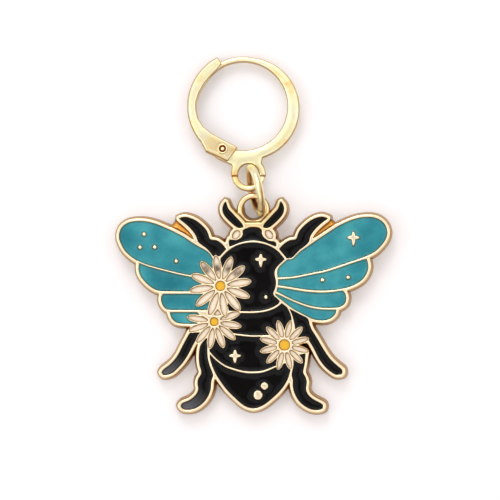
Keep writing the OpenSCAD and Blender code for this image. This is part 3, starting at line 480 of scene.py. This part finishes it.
sky = add(tree, "ShaderNodeMixShader", {0: sees_white, 1: around.outputs[0], 2: behind.outputs[0]})
add(tree, "ShaderNodeOutputWorld", {"Surface": sky.outputs[0]})
print("room nodes:", len(tree.nodes))

# %% [markdown]
# Three soft lamps stand round the object and add weak shadows. The strongest is beyond the
# clasp. An area lamp 180 mm wide and 450 mm away gives a shadow with a soft edge, where a
# point lamp's would be hard.
# %% Lamps
lamp_far, lamp_wide = 0.45, 0.18


def soft_lamp(name, azimuth, elevation, power):
    """A square area lamp that faces the object. Azimuth 0 is beyond the clasp, 90 the right."""
    data = bpy.data.lights.new(name, "AREA")
    data.size = lamp_wide
    data.energy = power
    lamp = bpy.data.objects.new(name, data)
    bpy.context.scene.collection.objects.link(lamp)
    a, e = math.radians(azimuth), math.radians(elevation)
    toward_lamp = Vector((math.sin(a) * math.cos(e), math.cos(a) * math.cos(e), math.sin(e)))
    lamp.location = toward_lamp * lamp_far
    lamp.rotation_euler = toward_lamp.to_track_quat("Z", "Y").to_euler()


soft_lamp("lamp_beyond", 348, 44, 0.42)
soft_lamp("lamp_left", 262, 46, 0.14)
soft_lamp("lamp_right", 85, 46, 0.06)

# %% [markdown]
# Every CAD node's mesh is loose triangles. To rework one, its copy is welded into a bmesh.
# The finished mesh goes into a new object at the origin, which rides on the node's body and
# stands in for the node.
# %% From a CAD node to a finished piece
body_of_node = {n: b for b, members in frame["record"]["behaviour"]["bodies"].items() for n in members}
weld_gap, shortest_edge = 0.0015, 0.0005


def welded(node):
    """A welded copy of a CAD node as a bmesh, in mm."""
    bm = bmesh.new()
    bm.from_mesh(frame["nodes"][node].data)
    bmesh.ops.scale(bm, vec=(1 / MM,) * 3, verts=bm.verts)
    bmesh.ops.remove_doubles(bm, verts=bm.verts, dist=weld_gap)
    bmesh.ops.dissolve_degenerate(bm, dist=shortest_edge, edges=bm.edges)
    return bm


def piece_from(bm, name, node, material, sharp=40):
    """Makes the finished object of a piece, gives it its looks and lets it replace its node."""
    bmesh.ops.scale(bm, vec=(MM,) * 3, verts=bm.verts)
    mesh = bpy.data.meshes.new(name)
    bm.to_mesh(mesh)
    bm.free()
    mesh.materials.append(material)
    mesh.shade_smooth()
    mesh.set_sharp_from_angle(angle=math.radians(sharp))
    piece = bpy.data.objects.new(name, mesh)
    bpy.context.scene.collection.objects.link(piece)
    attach(piece, body_of_node[node])
    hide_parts(node)
    print(name, "faces", len(mesh.polygons))
    return piece


print("bodies to ride on:", sorted(set(body_of_node.values())))

# %% [markdown]
# The casting's wall tops are narrow bands, worn round by polishing. The welded copy keeps
# the CAD outline, and its flat regions are told apart by their height and width: the
# network of walls, the dots, crosses and discs that stand in the enamel, and the eyelet.
# Each face is marked with its region, because later steps add faces and would lose a list.
# Widths are in mm, and a face counts as flat or as a side wall by the cosine of its tilt.
# %% Casting: welded copy and its regions
plate_t, eyelet_low, eyelet_high = 1.6, 0.3, 1.3
walls, dots, discs, crosses, eyelet_top, eyelet_foot = 1, 2, 3, 4, 5, 6
widest = {dots: 0.6, discs: 1.05, crosses: 1.6, walls: math.inf}
flat_cos, side_cos, at_level = 0.99, 0.3, 0.03
casting = welded("charm_plate")
mark = casting.faces.layers.int.new("mark")
under = casting.faces.layers.float.new("under")
level_layer = casting.verts.layers.float.new("level")
by_eyelet = casting.verts.layers.float.new("by_eyelet")
casting.normal_update()


def level_of(v):
    """Height of a vertex above the charm's back, in mm."""
    return height(v.co * MM)


def flat_faces(bm, at, side=1):
    """Faces that look up, or down for side -1, at one height above the back."""
    flat = [f for f in bm.faces if f.normal.dot(charm_up) * side > flat_cos]
    return [f for f in flat if abs(height(f.calc_center_median() * MM) - at) < at_level]


def islands(faces):
    """Groups of faces that hang together by edges."""
    left, groups = set(faces), []
    while left:
        group, todo = [], [left.pop()]
        while todo:
            f = todo.pop()
            group.append(f)
            near = {g for e in f.edges for g in e.link_faces if g in left}
            left -= near
            todo.extend(near)
        groups.append(group)
    return groups


def span(faces):
    """Width of a group of faces, in mm."""
    xs = [v.co.x for f in faces for v in f.verts]
    return max(xs) - min(xs)


regions = {kind: [] for kind in (walls, dots, discs, crosses)}
for group in islands(flat_faces(casting, plate_t)):
    kind = next(kind for kind, limit in widest.items() if span(group) < limit)
    regions[kind].append(group)
for kind, at, side in ((eyelet_top, eyelet_high, 1), (eyelet_foot, eyelet_low, -1)):
    regions[kind] = islands(flat_faces(casting, at, side))
for kind, groups in regions.items():
    for group in groups:
        for f in group:
            f[mark] = kind
print("regions:", {kind: [round(span(g), 2) for g in groups] for kind, groups in regions.items()})

# %% [markdown]
# Cast shapes are fuller and blunter than drawn ones. The crosses' arms widen: the notch
# between two arms moves more than a tip, which only grows sideways. At the tips of the
# antennae and forelegs, where two side walls of the plate meet at nearly a right angle, the
# corners step inwards. All moves, in mm, are worked out first and made together, so that no
# move changes the next one's measure.
# %% Casting: fuller arms and blunt tips
notch_move, tip_move, tip_from = 0.09, 0.035, 0.35
corner_move, square_cos = 0.16, 0.4
at_back, sliver = 0.02, 0.001


def steep_faces(v, least=0.0):
    """The side walls that meet in a vertex, without those of the least area or below."""
    sides = [f for f in v.link_faces if abs(f.normal.dot(charm_up)) < side_cos]
    return [f for f in sides if f.calc_area() > least]


def outward_pull(faces):
    """The sum of the faces' normals, to which a larger face adds more."""
    return sum((f.normal * f.calc_area() ** 0.5 for f in faces), Vector())


moves = {}
for group in regions[crosses]:
    cross_points = {v for f in group for v in f.verts}
    centre = sum((v.co for v in cross_points), Vector()) / len(cross_points)
    for v in cross_points:
        push = outward_pull(steep_faces(v, sliver))
        away = (v.co - centre).normalized()
        at_tip = (v.co - centre).length > tip_from
        if at_tip:
            push -= away * push.dot(away)
        moves[v] = push.normalized() * (tip_move if at_tip else notch_move)
for v in casting.verts:
    sides = steep_faces(v, sliver)
    if sides and min(level_of(w) for f in sides for w in f.verts) < at_back:
        corner_cos = min(f.normal.dot(g.normal) for f in sides for g in sides)
        outward = sum((f.normal for f in sides), Vector())
        inside = sum((f.calc_center_median() for f in sides), Vector()) / len(sides)
        if 0 < corner_cos < square_cos and (v.co - inside).dot(outward) > 0:
            moves[v] = outward.normalized() * -corner_move
for v, move in moves.items():
    v.co += move
print("moved corners:", len(moves))

# %% [markdown]
# No vertex lies inside a wall top: its triangles run from one side to the other. So the
# edges across the bands are divided first, and every vertex then falls with its distance
# to the rim. A dot becomes a dome this way and a cross a ridged star, because there the
# rounding is as wide as the whole shape. A bevel could round the rims too, but it would
# have to be narrower than the narrowest wall everywhere. The same distances darken the
# rims with painted shade.
# %% Casting: divided tops and the distance to a rim


def rim_edges(faces):
    """The edges on the border of a set of faces."""
    inside = set(faces)
    return {e for f in inside for e in f.edges if any(g not in inside for g in e.link_faces)}


def rim_distance(faces, rim=None):
    """Each vertex of the faces with its distance to their border, or to given edges, in mm.

    The 14 edges whose middles are nearest are measured exactly.
    """
    ends = np.array([[v.co for v in e.verts] for e in rim or rim_edges(faces)])
    finder = KDTree(len(ends))
    for k, pair in enumerate(ends):
        finder.insert(pair.mean(0), k)
    finder.balance()
    found = {}
    for v in {v for f in faces for v in f.verts}:
        near = [k for _, k, _ in finder.find_n(v.co, 14)]
        a, b = ends[near, 0], ends[near, 1]
        p = np.array(v.co)
        t = ((p - a) * (b - a)).sum(-1) / np.maximum(((b - a) ** 2).sum(-1), 1e-12)
        gap = p - (a + np.clip(t, 0, 1)[:, None] * (b - a))
        found[v] = float(np.sqrt((gap**2).sum(-1)).min())
    return found


def marked(kind):
    """The casting's faces of one kind of region."""
    return [f for f in casting.faces if f[mark] == kind]


def quarter(d, width):
    """How far a quarter curve has fallen at distance d from its rim: 1 at 0, 0 from width on."""
    x = min(1.0, d / width)
    return 1 - math.sqrt(1 - (1 - x) ** 2)


across = [e for e in casting.edges if len({f[mark] for f in e.link_faces}) == 1 and e.link_faces[0][mark]]
bmesh.ops.subdivide_edges(casting, edges=across, cuts=3, use_grid_fill=True)
bmesh.ops.triangulate(casting, faces=[f for f in casting.faces if f[mark]])
casting.normal_update()
print("divided edges:", len(across), "faces:", len(casting.faces))

# %% [markdown]
# Towards the enamel the walls are only eased, and towards the outside they are rounded over
# a quarter of a millimetre. The level that drives the colour grows with the height, is
# about 0.7 at the rims of the wall tops, and 1 along their middle: the lower values are
# painted shade on the sides and rims. Widths and drops are in mm. An edge of the walls is
# an outer one where its side wall reaches down below the cells' floors.
# %% Casting: rounding
small_shapes = {dots: (0.25, 0.14), discs: (0.12, 0.08), crosses: (0.14, 0.06)}
outer_w, outer_drop, inner_w, inner_drop = 0.24, 0.18, 0.12, 0.07
side_shade, outer_dark, inner_dark, small_dark, small_dark_w = 0.62, 0.32, 0.3, 0.18, 0.1
eyelet_shade, eyelet_dark, eyelet_dark_w = 0.97, 0.3, 0.2
low_side = 0.6
# Painted shade: lower vertices get a lower level, and every rim below is painted darker.
for v in casting.verts:
    v[level_layer] = clamped(side_shade * level_of(v) / plate_t)
for kind, (width, drop) in small_shapes.items():
    for v, d in rim_distance(marked(kind)).items():
        v.co -= charm_up * drop * quarter(d, width)
        v[level_layer] = 1 - small_dark * quarter(d, min(width, small_dark_w))
wall_rim = rim_edges(marked(walls))
outer_rim = {e for e in wall_rim if min(level_of(v) for f in e.link_faces for v in f.verts) < low_side}
to_outer = rim_distance(marked(walls), outer_rim)
to_inner = rim_distance(marked(walls), wall_rim - outer_rim)
for v in to_outer:
    outer, inner = quarter(to_outer[v], outer_w), quarter(to_inner[v], inner_w)
    v.co -= charm_up * (outer_drop * outer + inner_drop * inner)
    v[level_layer] = 1 - outer_dark * outer - inner_dark * inner
for kind, side in ((eyelet_top, charm_up), (eyelet_foot, -charm_up)):
    for v, d in rim_distance(marked(kind)).items():
        v.co -= side * outer_drop * quarter(d, outer_w)
        if kind == eyelet_top:
            v[level_layer] = eyelet_shade - eyelet_dark * quarter(d, eyelet_dark_w)
print("rounded, highest point", round(max(level_of(v) for v in casting.verts), 2), "mm")

# %% [markdown]
# A die casting has sides that lean outwards towards the back, so that it leaves its mould,
# and seen from above they show as a thin line round the whole charm, painted brown as shade.
# Each vertex on the outer rim of the back moves outwards along the side walls that meet in
# it. The hole of the eyelet narrows in the same way, except where the ring's wire lies in
# it, and its wall is painted the darkest brown, as painted shade. The back itself is marked
# and stays flat shaded, and every vertex is marked by how near it is to the eyelet.
# %% Casting: draft
draft, taper = 0.2, 0.24
hole_w, hole_low, wire_from, wire_fade = 1.25, 0.25, 0.6, 0.5
mirror_reach, mirror_fade = 3.4, 1.4
casting.normal_update()
back = flat_faces(casting, 0, -1)
# Where the eyelet's hole narrows, level 0 paints its wall the darkest brown: painted shade.
for v in casting.verts:
    if level_of(v) < at_back:
        push = outward_pull(steep_faces(v))
        if push.length > 0:
            v.co += push.normalized() * draft
    inward = eyelet_at.xy / MM - v.co.xy
    if inward.length < hole_w and level_of(v) < eyelet_low + hole_low:
        clear_of_wire = clamped((inward.normalized().y + wire_from) / wire_fade)
        v.co.xy += inward.normalized() * taper * clear_of_wire
        v[level_layer] = 0.0
    v[by_eyelet] = clamped((mirror_reach - inward.length) / mirror_fade)
for f in back:
    f[under] = 1
charm_casting = piece_from(casting, "charm_casting", "charm_plate", charm_gold, 50)
back_marks = charm_casting.data.attributes["under"].data
for polygon in charm_casting.data.polygons:
    polygon.use_smooth = back_marks[polygon.index].value < 0.5

# %% [markdown]
# Each enamel fill is welded and its top is cut by a fine grid, which gives the flat top
# points to bend. Then every point sinks by an amount that grows with its distance to the
# nearest wall: that is the curved rim where the enamel has crept up the metal. The wings
# and the black fills also sag over a wider band. A slow noise makes every top a little
# wavy, so that its reflections aren't those of a flat sheet.
# %% Enamel fills: how one is made
curl_reach, sag_band, sag_uneven, sag_scale = 0.08, 0.6, 0.3, 0.8
wave_high, wave_scale, wave_seed, wave_from_wall = 0.01, 0.6, Vector((7, 3, 1)), 0.3
thin_and_sheen_from_wall = 0.1


def gridded(bm, step):
    """Cuts the mesh along a square grid, so that its flat faces get points to bend."""
    for axis in (Vector((1, 0, 0)), Vector((0, 1, 0))):
        places = [v.co.dot(axis) for v in bm.verts]
        for k in range(1, int((max(places) - min(places)) / step) + 1):
            bmesh.ops.bisect_plane(
                bm,
                geom=bm.verts[:] + bm.edges[:] + bm.faces[:],
                plane_co=axis * (min(places) + k * step),
                plane_no=axis,
                dist=0.0005,
            )
    bm.normal_update()


def enamel_fill(node, colour, material, step=0.12, creep=0.07, slope=0.0, thin_and_sheen=(), reach=0.75):
    """A fill whose top curves up at the walls, slopes over a band beside them and is wavy.

    Round the given points, as far as reach, a vertex attribute marks it: thinner enamel in the cream, a painted
    grey reflection in the black.
    """
    bm = welded(node)
    wall_layer = bm.verts.layers.float.new("from_wall")
    thin_and_sheen_layer = bm.verts.layers.float.new("thin_and_sheen")
    top_level = max(level_of(v) for v in bm.verts)
    gridded(bm, step)
    top = [f for f in bm.faces if f.normal.dot(charm_up) > flat_cos]
    top = [f for f in top if level_of(f.verts[0]) > top_level - 0.01]
    for v, d in rim_distance(top).items():
        v[wall_layer] = min(1.0, d)
        curled = creep * (1 - math.exp(-d / curl_reach))
        sloped = slope * min(d, sag_band * (1 + sag_uneven * noise.noise(v.co * sag_scale)))
        wave = wave_high * noise.noise(v.co * wave_scale + wave_seed) * min(1.0, d / wave_from_wall)
        spot = min(((v.co.xy - at).length for at in thin_and_sheen), default=math.inf)
        v[thin_and_sheen_layer] = max(0.0, 1 - spot / reach) * min(1.0, d / thin_and_sheen_from_wall)
        v.co += charm_up * (wave - curled - sloped)
    bmesh.ops.triangulate(bm, faces=top)
    piece_from(bm, f"{colour}_{node}", node, material)


# %% [markdown]
# The wings hold the largest pools of enamel, so a coarser grid is enough, and they sag only
# slightly. The black parts sag more, which gives them their long soft reflections, and
# towards two points at the tips of the left legs their enamel is painted grey, as a painted
# reflection.
# %% Teal and black fills
for side in ("left", "right"):
    for k in (1, 2, 3, 4):
        enamel_fill(f"{side}_wing_enamel_{k}", "teal", teal_enamel, step=0.2, slope=0.03)
# Round these leg tips the black is painted grey: painted reflection.
leg_tips = [Vector((-9.4, -14.9)), Vector((-7.1, -18.6))]
black_nodes = [n for n in frame["nodes"] if n.endswith("_enamel") and "eye" not in n]
for node in black_nodes:
    enamel_fill(
        node, "black", black_enamel, step=0.15, slope=0.12, thin_and_sheen=leg_tips, reach=2.6
    )
print("black fills:", len(black_nodes))

# %% [markdown]
# The eyes and petals are small drops that lie flatter, and the daisy centres are filled so
# high that they bulge: there the creep is negative. The four thin spots of the upper
# daisy are given as an angle and a distance from the middle of its centre.
# %% Cream and yellow fills
centre_points = [v.co for v in frame["nodes"]["upper_daisy_centre"].data.vertices]
daisy = sum(centre_points, Vector()) / len(centre_points) / MM
thin_spots = [
    daisy.xy + Vector((math.cos(math.radians(a)), math.sin(math.radians(a)))) * r
    for a, r in ((103, 1.9), (62, 2.1), (133, 2.4), (38, 2.3))
]
for side in ("left", "right"):
    enamel_fill(f"{side}_eye_enamel", "cream", cream_enamel, creep=0.03)
for flower in ("upper", "left", "right"):
    petals = f"{flower}_daisy_petals"
    enamel_fill(petals, "cream", cream_enamel, creep=0.05, thin_and_sheen=thin_spots)
for flower in ("upper", "left", "right"):
    enamel_fill(f"{flower}_daisy_centre", "yellow", yellow_enamel, creep=-0.05)
print("middle of the upper daisy", [round(c, 2) for c in daisy], "mm")

# %% [markdown]
# The hoop and the lever are worked on in the clasp's own frame, where z runs along the
# hinge. The long triangles of the CAD mesh can't be bent, so a voxel remesh first rebuilds
# each piece from small even quads. Every vertex then learns its distance to the rim of the
# flat faces, which was read from the CAD edges beforehand.
# %% Clasp: its frame and rims
to_world = Matrix.Translation(rivet_at / MM) @ clasp_up.to_track_quat("Z", "Y").to_matrix().to_4x4()
opening = next(m["pos_m"] for m in frame["record"]["mounts"] if m["name"] == "needle_opening")
middle = (to_world.inverted() @ (Vector(opening) / MM)).xy
rim_level, wall_depth, point_gap = 0.01, 0.05, 0.03


def clasp_piece(node):
    """A clasp piece in the clasp's frame, its upper level and the rim there with its walls."""
    bm = welded(node)
    bmesh.ops.transform(bm, matrix=to_world.inverted(), verts=bm.verts)
    bm.normal_update()
    top = max(v.co.z for v in bm.verts)
    rim = []
    for e in bm.edges:
        side_walls = [f for f in e.link_faces if min(v.co.z for v in f.verts) < top - wall_depth]
        if side_walls and min(v.co.z for v in e.verts) > top - rim_level:
            normal = side_walls[0].normal.xy.copy()
            rim.append((e.verts[0].co.xy.copy(), e.verts[1].co.xy.copy(), normal))
    return bm, top, rim


def distance_to(rim):
    """A function that gives a point's distance, seen along z, to the nearest rim edge."""
    points = []
    for start, end, _ in rim:
        count = math.ceil((end - start).length / point_gap) + 1
        points += [start.lerp(end, k / count) for k in range(count + 1)]
    finder = KDTree(len(points))
    for k, point in enumerate(points):
        finder.insert(point.to_3d(), k)
    finder.balance()
    return lambda point: finder.find((point.x, point.y, 0))[2]


print("rivet to the middle of the opening", round(middle.length, 2), "mm")

# %% [markdown]
# The remesh is a modifier, so it needs an object for a moment. A voxel of 0.07 mm keeps the
# thin sheet closed and still makes few enough faces. Smoothing evens out the steps that the
# voxels leave, and eases every edge a little.
# %% Clasp: even mesh


def even_mesh(bm, voxel=0.07):
    """The same body rebuilt from even quads."""
    mesh = bpy.data.meshes.new("uneven")
    bm.to_mesh(mesh)
    bm.free()
    body = bpy.data.objects.new("uneven", mesh)
    bpy.context.scene.collection.objects.link(body)
    remesh = body.modifiers.new("even", "REMESH")
    remesh.mode = "VOXEL"
    remesh.voxel_size = voxel
    evaluated = body.evaluated_get(bpy.context.evaluated_depsgraph_get())
    bm = bmesh.new()
    bm.from_mesh(evaluated.to_mesh())
    bpy.data.objects.remove(body)
    bpy.data.meshes.remove(mesh)
    bm.normal_update()
    print("even faces:", len(bm.faces))
    return bm


def smoothed(bm, times):
    """Evens out the vertices a few times, which also eases every edge."""
    for _ in range(times):
        bmesh.ops.smooth_vert(
            bm, verts=bm.verts, factor=0.5, use_axis_x=True, use_axis_y=True, use_axis_z=True
        )


def soft_step(d, width):
    """Falls from 1 at a rim to 0 at a width from it."""
    return (1 - min(1.0, d / width)) ** 2


# %% [markdown]
# The hoop is stamped from sheet 1.1 mm thick and tumbled until its edges are round and its
# faces a little crowned: towards the rim its height shrinks, steeply at the very edge and
# slowly over almost a millimetre. The cut sides and the very edge are painted darker, as
# painted shade.
# %% Hoop
edge_w, edge_drop, crown_w, crown_drop = 0.2, 0.12, 0.9, 0.07
hoop_dark, steep_from, dark_w = 0.85, 0.8, 0.12
hoop, hoop_top, hoop_rim = clasp_piece("hoop")
to_rim = distance_to(hoop_rim)
hoop = even_mesh(hoop)
hoop_shade = hoop.verts.layers.float.new("painted_shade")
smoothed(hoop, 1)
hoop.normal_update()
# Painted shade on the steep sides and at the edge.
for v in hoop.verts:
    d = to_rim(v.co)
    v[hoop_shade] = hoop_dark * max(steep_from - abs(v.normal.z), 1 - min(1.0, d / dark_w), 0)
    v.co.z *= 1 - (edge_drop * soft_step(d, edge_w) + crown_drop * soft_step(d, crown_w)) / hoop_top
smoothed(hoop, 2)
bmesh.ops.transform(hoop, matrix=to_world, verts=hoop.verts)
piece_from(hoop, "clasp_hoop", "hoop", clasp_gold, 60)

# %% [markdown]
# The lever is thinner sheet folded into a channel. Its outer bend is a wide round, and a
# fine crease runs beside it near the rivet, where the sheet was pressed flat again. The
# open edges are only a little eased. The cut edges, the crease and the sheet round the
# rivet are painted darker, as painted shade.
#
# The rim's edges are parted first: those on the outer bend lie far from the middle of the
# opening and face away from it, and all others are open edges. Each vertex then falls by a
# sum of steps: the bend, the fold beside it, the open edge and a faint crown. The outer
# skin of the sheet moves fully, and its inner skin stays.
# %% Lever
sheet, bend_from, bend_cos = 0.3, 5.1, 0.75
bend_w, bend_drop, open_w, open_drop = 0.36, 0.2, 0.15, 0.05
fold_from, fold_w, fold_drop, lever_crown_w, lever_crown = 0.3, 0.1, 0.05, 0.6, 0.03
crease_at, crease_w, bend_dark_w = 0.36, 0.09, 0.2
rivet_from, rivet_fade = 1.2, 2.4
edge_dark, rivet_dark, crease_dark = 0.8, 0.3, 0.6
lever, lever_top, lever_rim = clasp_piece("lever")
bend = [
    r
    for r in lever_rim
    if (r[0] - middle).length > bend_from and (r[0] - middle).normalized().dot(r[2]) > bend_cos
]
to_bend = distance_to(bend)
to_open = distance_to([r for r in lever_rim if r not in bend])
lever = even_mesh(lever)
lever_shade = lever.verts.layers.float.new("painted_shade")
smoothed(lever, 1)
lever.normal_update()
# Painted shade on cut edges, the crease and round the rivet.
for v in lever.verts:
    from_bend, from_open = to_bend(v.co), to_open(v.co)
    near_rivet = 1 - clamped((v.co.length - rivet_from) / rivet_fade)
    crease = max(0.0, 1 - abs(from_bend - crease_at) / crease_w) * min(1.0, 3 * near_rivet)
    edge = max(steep_from - abs(v.normal.z), 1 - min(from_bend / bend_dark_w, from_open / dark_w), 0)
    v[lever_shade] = max(edge_dark * edge, rivet_dark * near_rivet, crease_dark * crease)
    fall = bend_drop * soft_step(from_bend, bend_w) + open_drop * soft_step(from_open, open_w)
    fall += fold_drop * clamped((from_bend - fold_from) / fold_w)
    fall += lever_crown * soft_step(min(from_bend, from_open), lever_crown_w)
    share = clamped((abs(v.co.z) - lever_top + sheet) / sheet)
    v.co.z -= math.copysign(fall * share, v.co.z)
smoothed(lever, 1)
bmesh.ops.transform(lever, matrix=to_world, verts=lever.verts)
piece_from(lever, "clasp_lever", "lever", clasp_gold, 60)

# %% [markdown]
# The lever's rivet is a short tube whose ends were rolled over: each end is a pale flat
# ring, then a groove, painted dark as shade, then the bright end of the pin. One profile
# from the middle of the rivet to its axis, spun round the hinge axis, gives half of it,
# and a mirrored copy gives the other half.
# %% Rivet
pin_r, head_r, cheek_out = 0.35, 0.55, 0.9
groove_in, groove_out = 0.21, 0.39
profile = [
    (pin_r, 0.0),
    (pin_r, cheek_out - 0.01),
    (head_r - 0.02, cheek_out),
    (head_r, cheek_out + 0.05),
    (head_r - 0.02, cheek_out + 0.12),
    (head_r - 0.06, cheek_out + 0.16),
    (0.45, cheek_out + 0.17),
    (0.41, cheek_out + 0.16),
    (0.38, cheek_out + 0.12),
    (0.34, cheek_out - 0.05),
    (0.26, cheek_out - 0.08),
    (0.22, cheek_out - 0.04),
    (0.19, cheek_out + 0.06),
    (0.1, cheek_out + 0.09),
    (0.0, cheek_out + 0.1),
]


def spun(points, steps=48):
    """A surface of revolution round z from (radius, height) points."""
    bm = bmesh.new()
    line = [bm.verts.new((r, 0, z)) for r, z in points]
    edges = [bm.edges.new(pair) for pair in zip(line, line[1:])]
    bmesh.ops.spin(
        bm,
        geom=line + edges,
        cent=(0, 0, 0),
        axis=(0, 0, 1),
        angle=math.tau,
        steps=steps,
        use_merge=True,
    )
    bmesh.ops.remove_doubles(bm, verts=bm.verts, dist=0.0005)
    return bm


rivet = spun(profile)
rivet_shade = rivet.verts.layers.float.new("painted_shade")
# Painted shade in the groove.
for v in rivet.verts:
    v[rivet_shade] = 1.0 if groove_in < v.co.xy.length < groove_out and v.co.z > cheek_out / 2 else 0.0
bmesh.ops.mirror(
    rivet, geom=rivet.verts[:] + rivet.edges[:] + rivet.faces[:], axis="Z", merge_dist=0.001
)
bmesh.ops.recalc_face_normals(rivet, faces=rivet.faces)
bmesh.ops.transform(rivet, matrix=to_world, verts=rivet.verts)
piece_from(rivet, "rolled_rivet", "lever_rivet", clasp_gold, 60)

# %% [markdown]
# The jump ring is a turn of wire, cut through once, so its two flat ends almost meet. A
# circle of wire is spun round the ring's axis, a little short of a full turn, and its ends
# are closed and eased.
#
# The inner side of the wire is painted darker, as painted shade. A dark line, a painted
# dark reflection, also runs along the right side of the wire as it lies here, strongest at
# its lower end. It is marked once the ring is in its place, by the direction in which each
# vertex looks.
# %% Jump ring
ring_r, wire_r, cut_at, cut_w = 2.4, 0.4, 19, 0.06
inner_from, line_looks, line_w, line_most = 0.05, 0.38, 0.3, 1.2
line_top, line_fade, line_least, end_bevel = 6.4, 2, 0.2, 0.05
open_angle = cut_w / ring_r
along = Vector((0, 0, 1)).cross(ring_axis).normalized()
ring_up = ring_axis.cross(along).normalized()
ring = bmesh.new()
start = bmesh.ops.create_circle(ring, cap_ends=True, segments=24, radius=wire_r)["verts"]
bmesh.ops.rotate(ring, matrix=Matrix.Rotation(math.pi / 2, 3, "X"), verts=start)
bmesh.ops.translate(ring, vec=(ring_r, 0, 0), verts=start)
bmesh.ops.spin(
    ring,
    geom=ring.verts[:] + ring.edges[:] + ring.faces[:],
    cent=(0, 0, 0),
    axis=(0, 0, 1),
    angle=math.tau - open_angle,
    steps=120,
)
bmesh.ops.recalc_face_normals(ring, faces=ring.faces)
ends = [e for e in ring.edges if len(e.link_faces) == 2 and e.calc_face_angle(0) > 0.9]
bmesh.ops.bevel(
    ring, geom=ends, offset=end_bevel, affect="EDGES", segments=2, profile=0.5, material=-1
)
ring_shade = ring.verts.layers.float.new("painted_shade")
# Painted shade on the inner side of the wire.
for v in ring.verts:
    v[ring_shade] = clamped((ring_r - inner_from - v.co.xy.length) / wire_r)
basis = Matrix((along, ring_up, ring_axis)).transposed().to_4x4()
cut_turn = Matrix.Rotation(math.radians(cut_at) + open_angle / 2, 4, "Z")
bmesh.ops.transform(ring, matrix=Matrix.Translation(ring_at / MM) @ basis @ cut_turn, verts=ring.verts)
ring.normal_update()
# Painted reflection: the dark line along the right side of the wire.
for v in ring.verts:
    low = max(line_least, clamped((line_top - v.co.y) / line_fade))
    v[ring_shade] = max(v[ring_shade], low * max(0.0, line_most - abs(v.normal.x - line_looks) / line_w))
piece_from(ring, "jump_ring_wire", "jump_ring", clasp_gold, 50)

visual_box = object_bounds()
for name, box in (("cad", cad_box), ("visual", visual_box)):
    print(name, [round((b - a) / MM, 2) for a, b in zip(*box)], "mm")
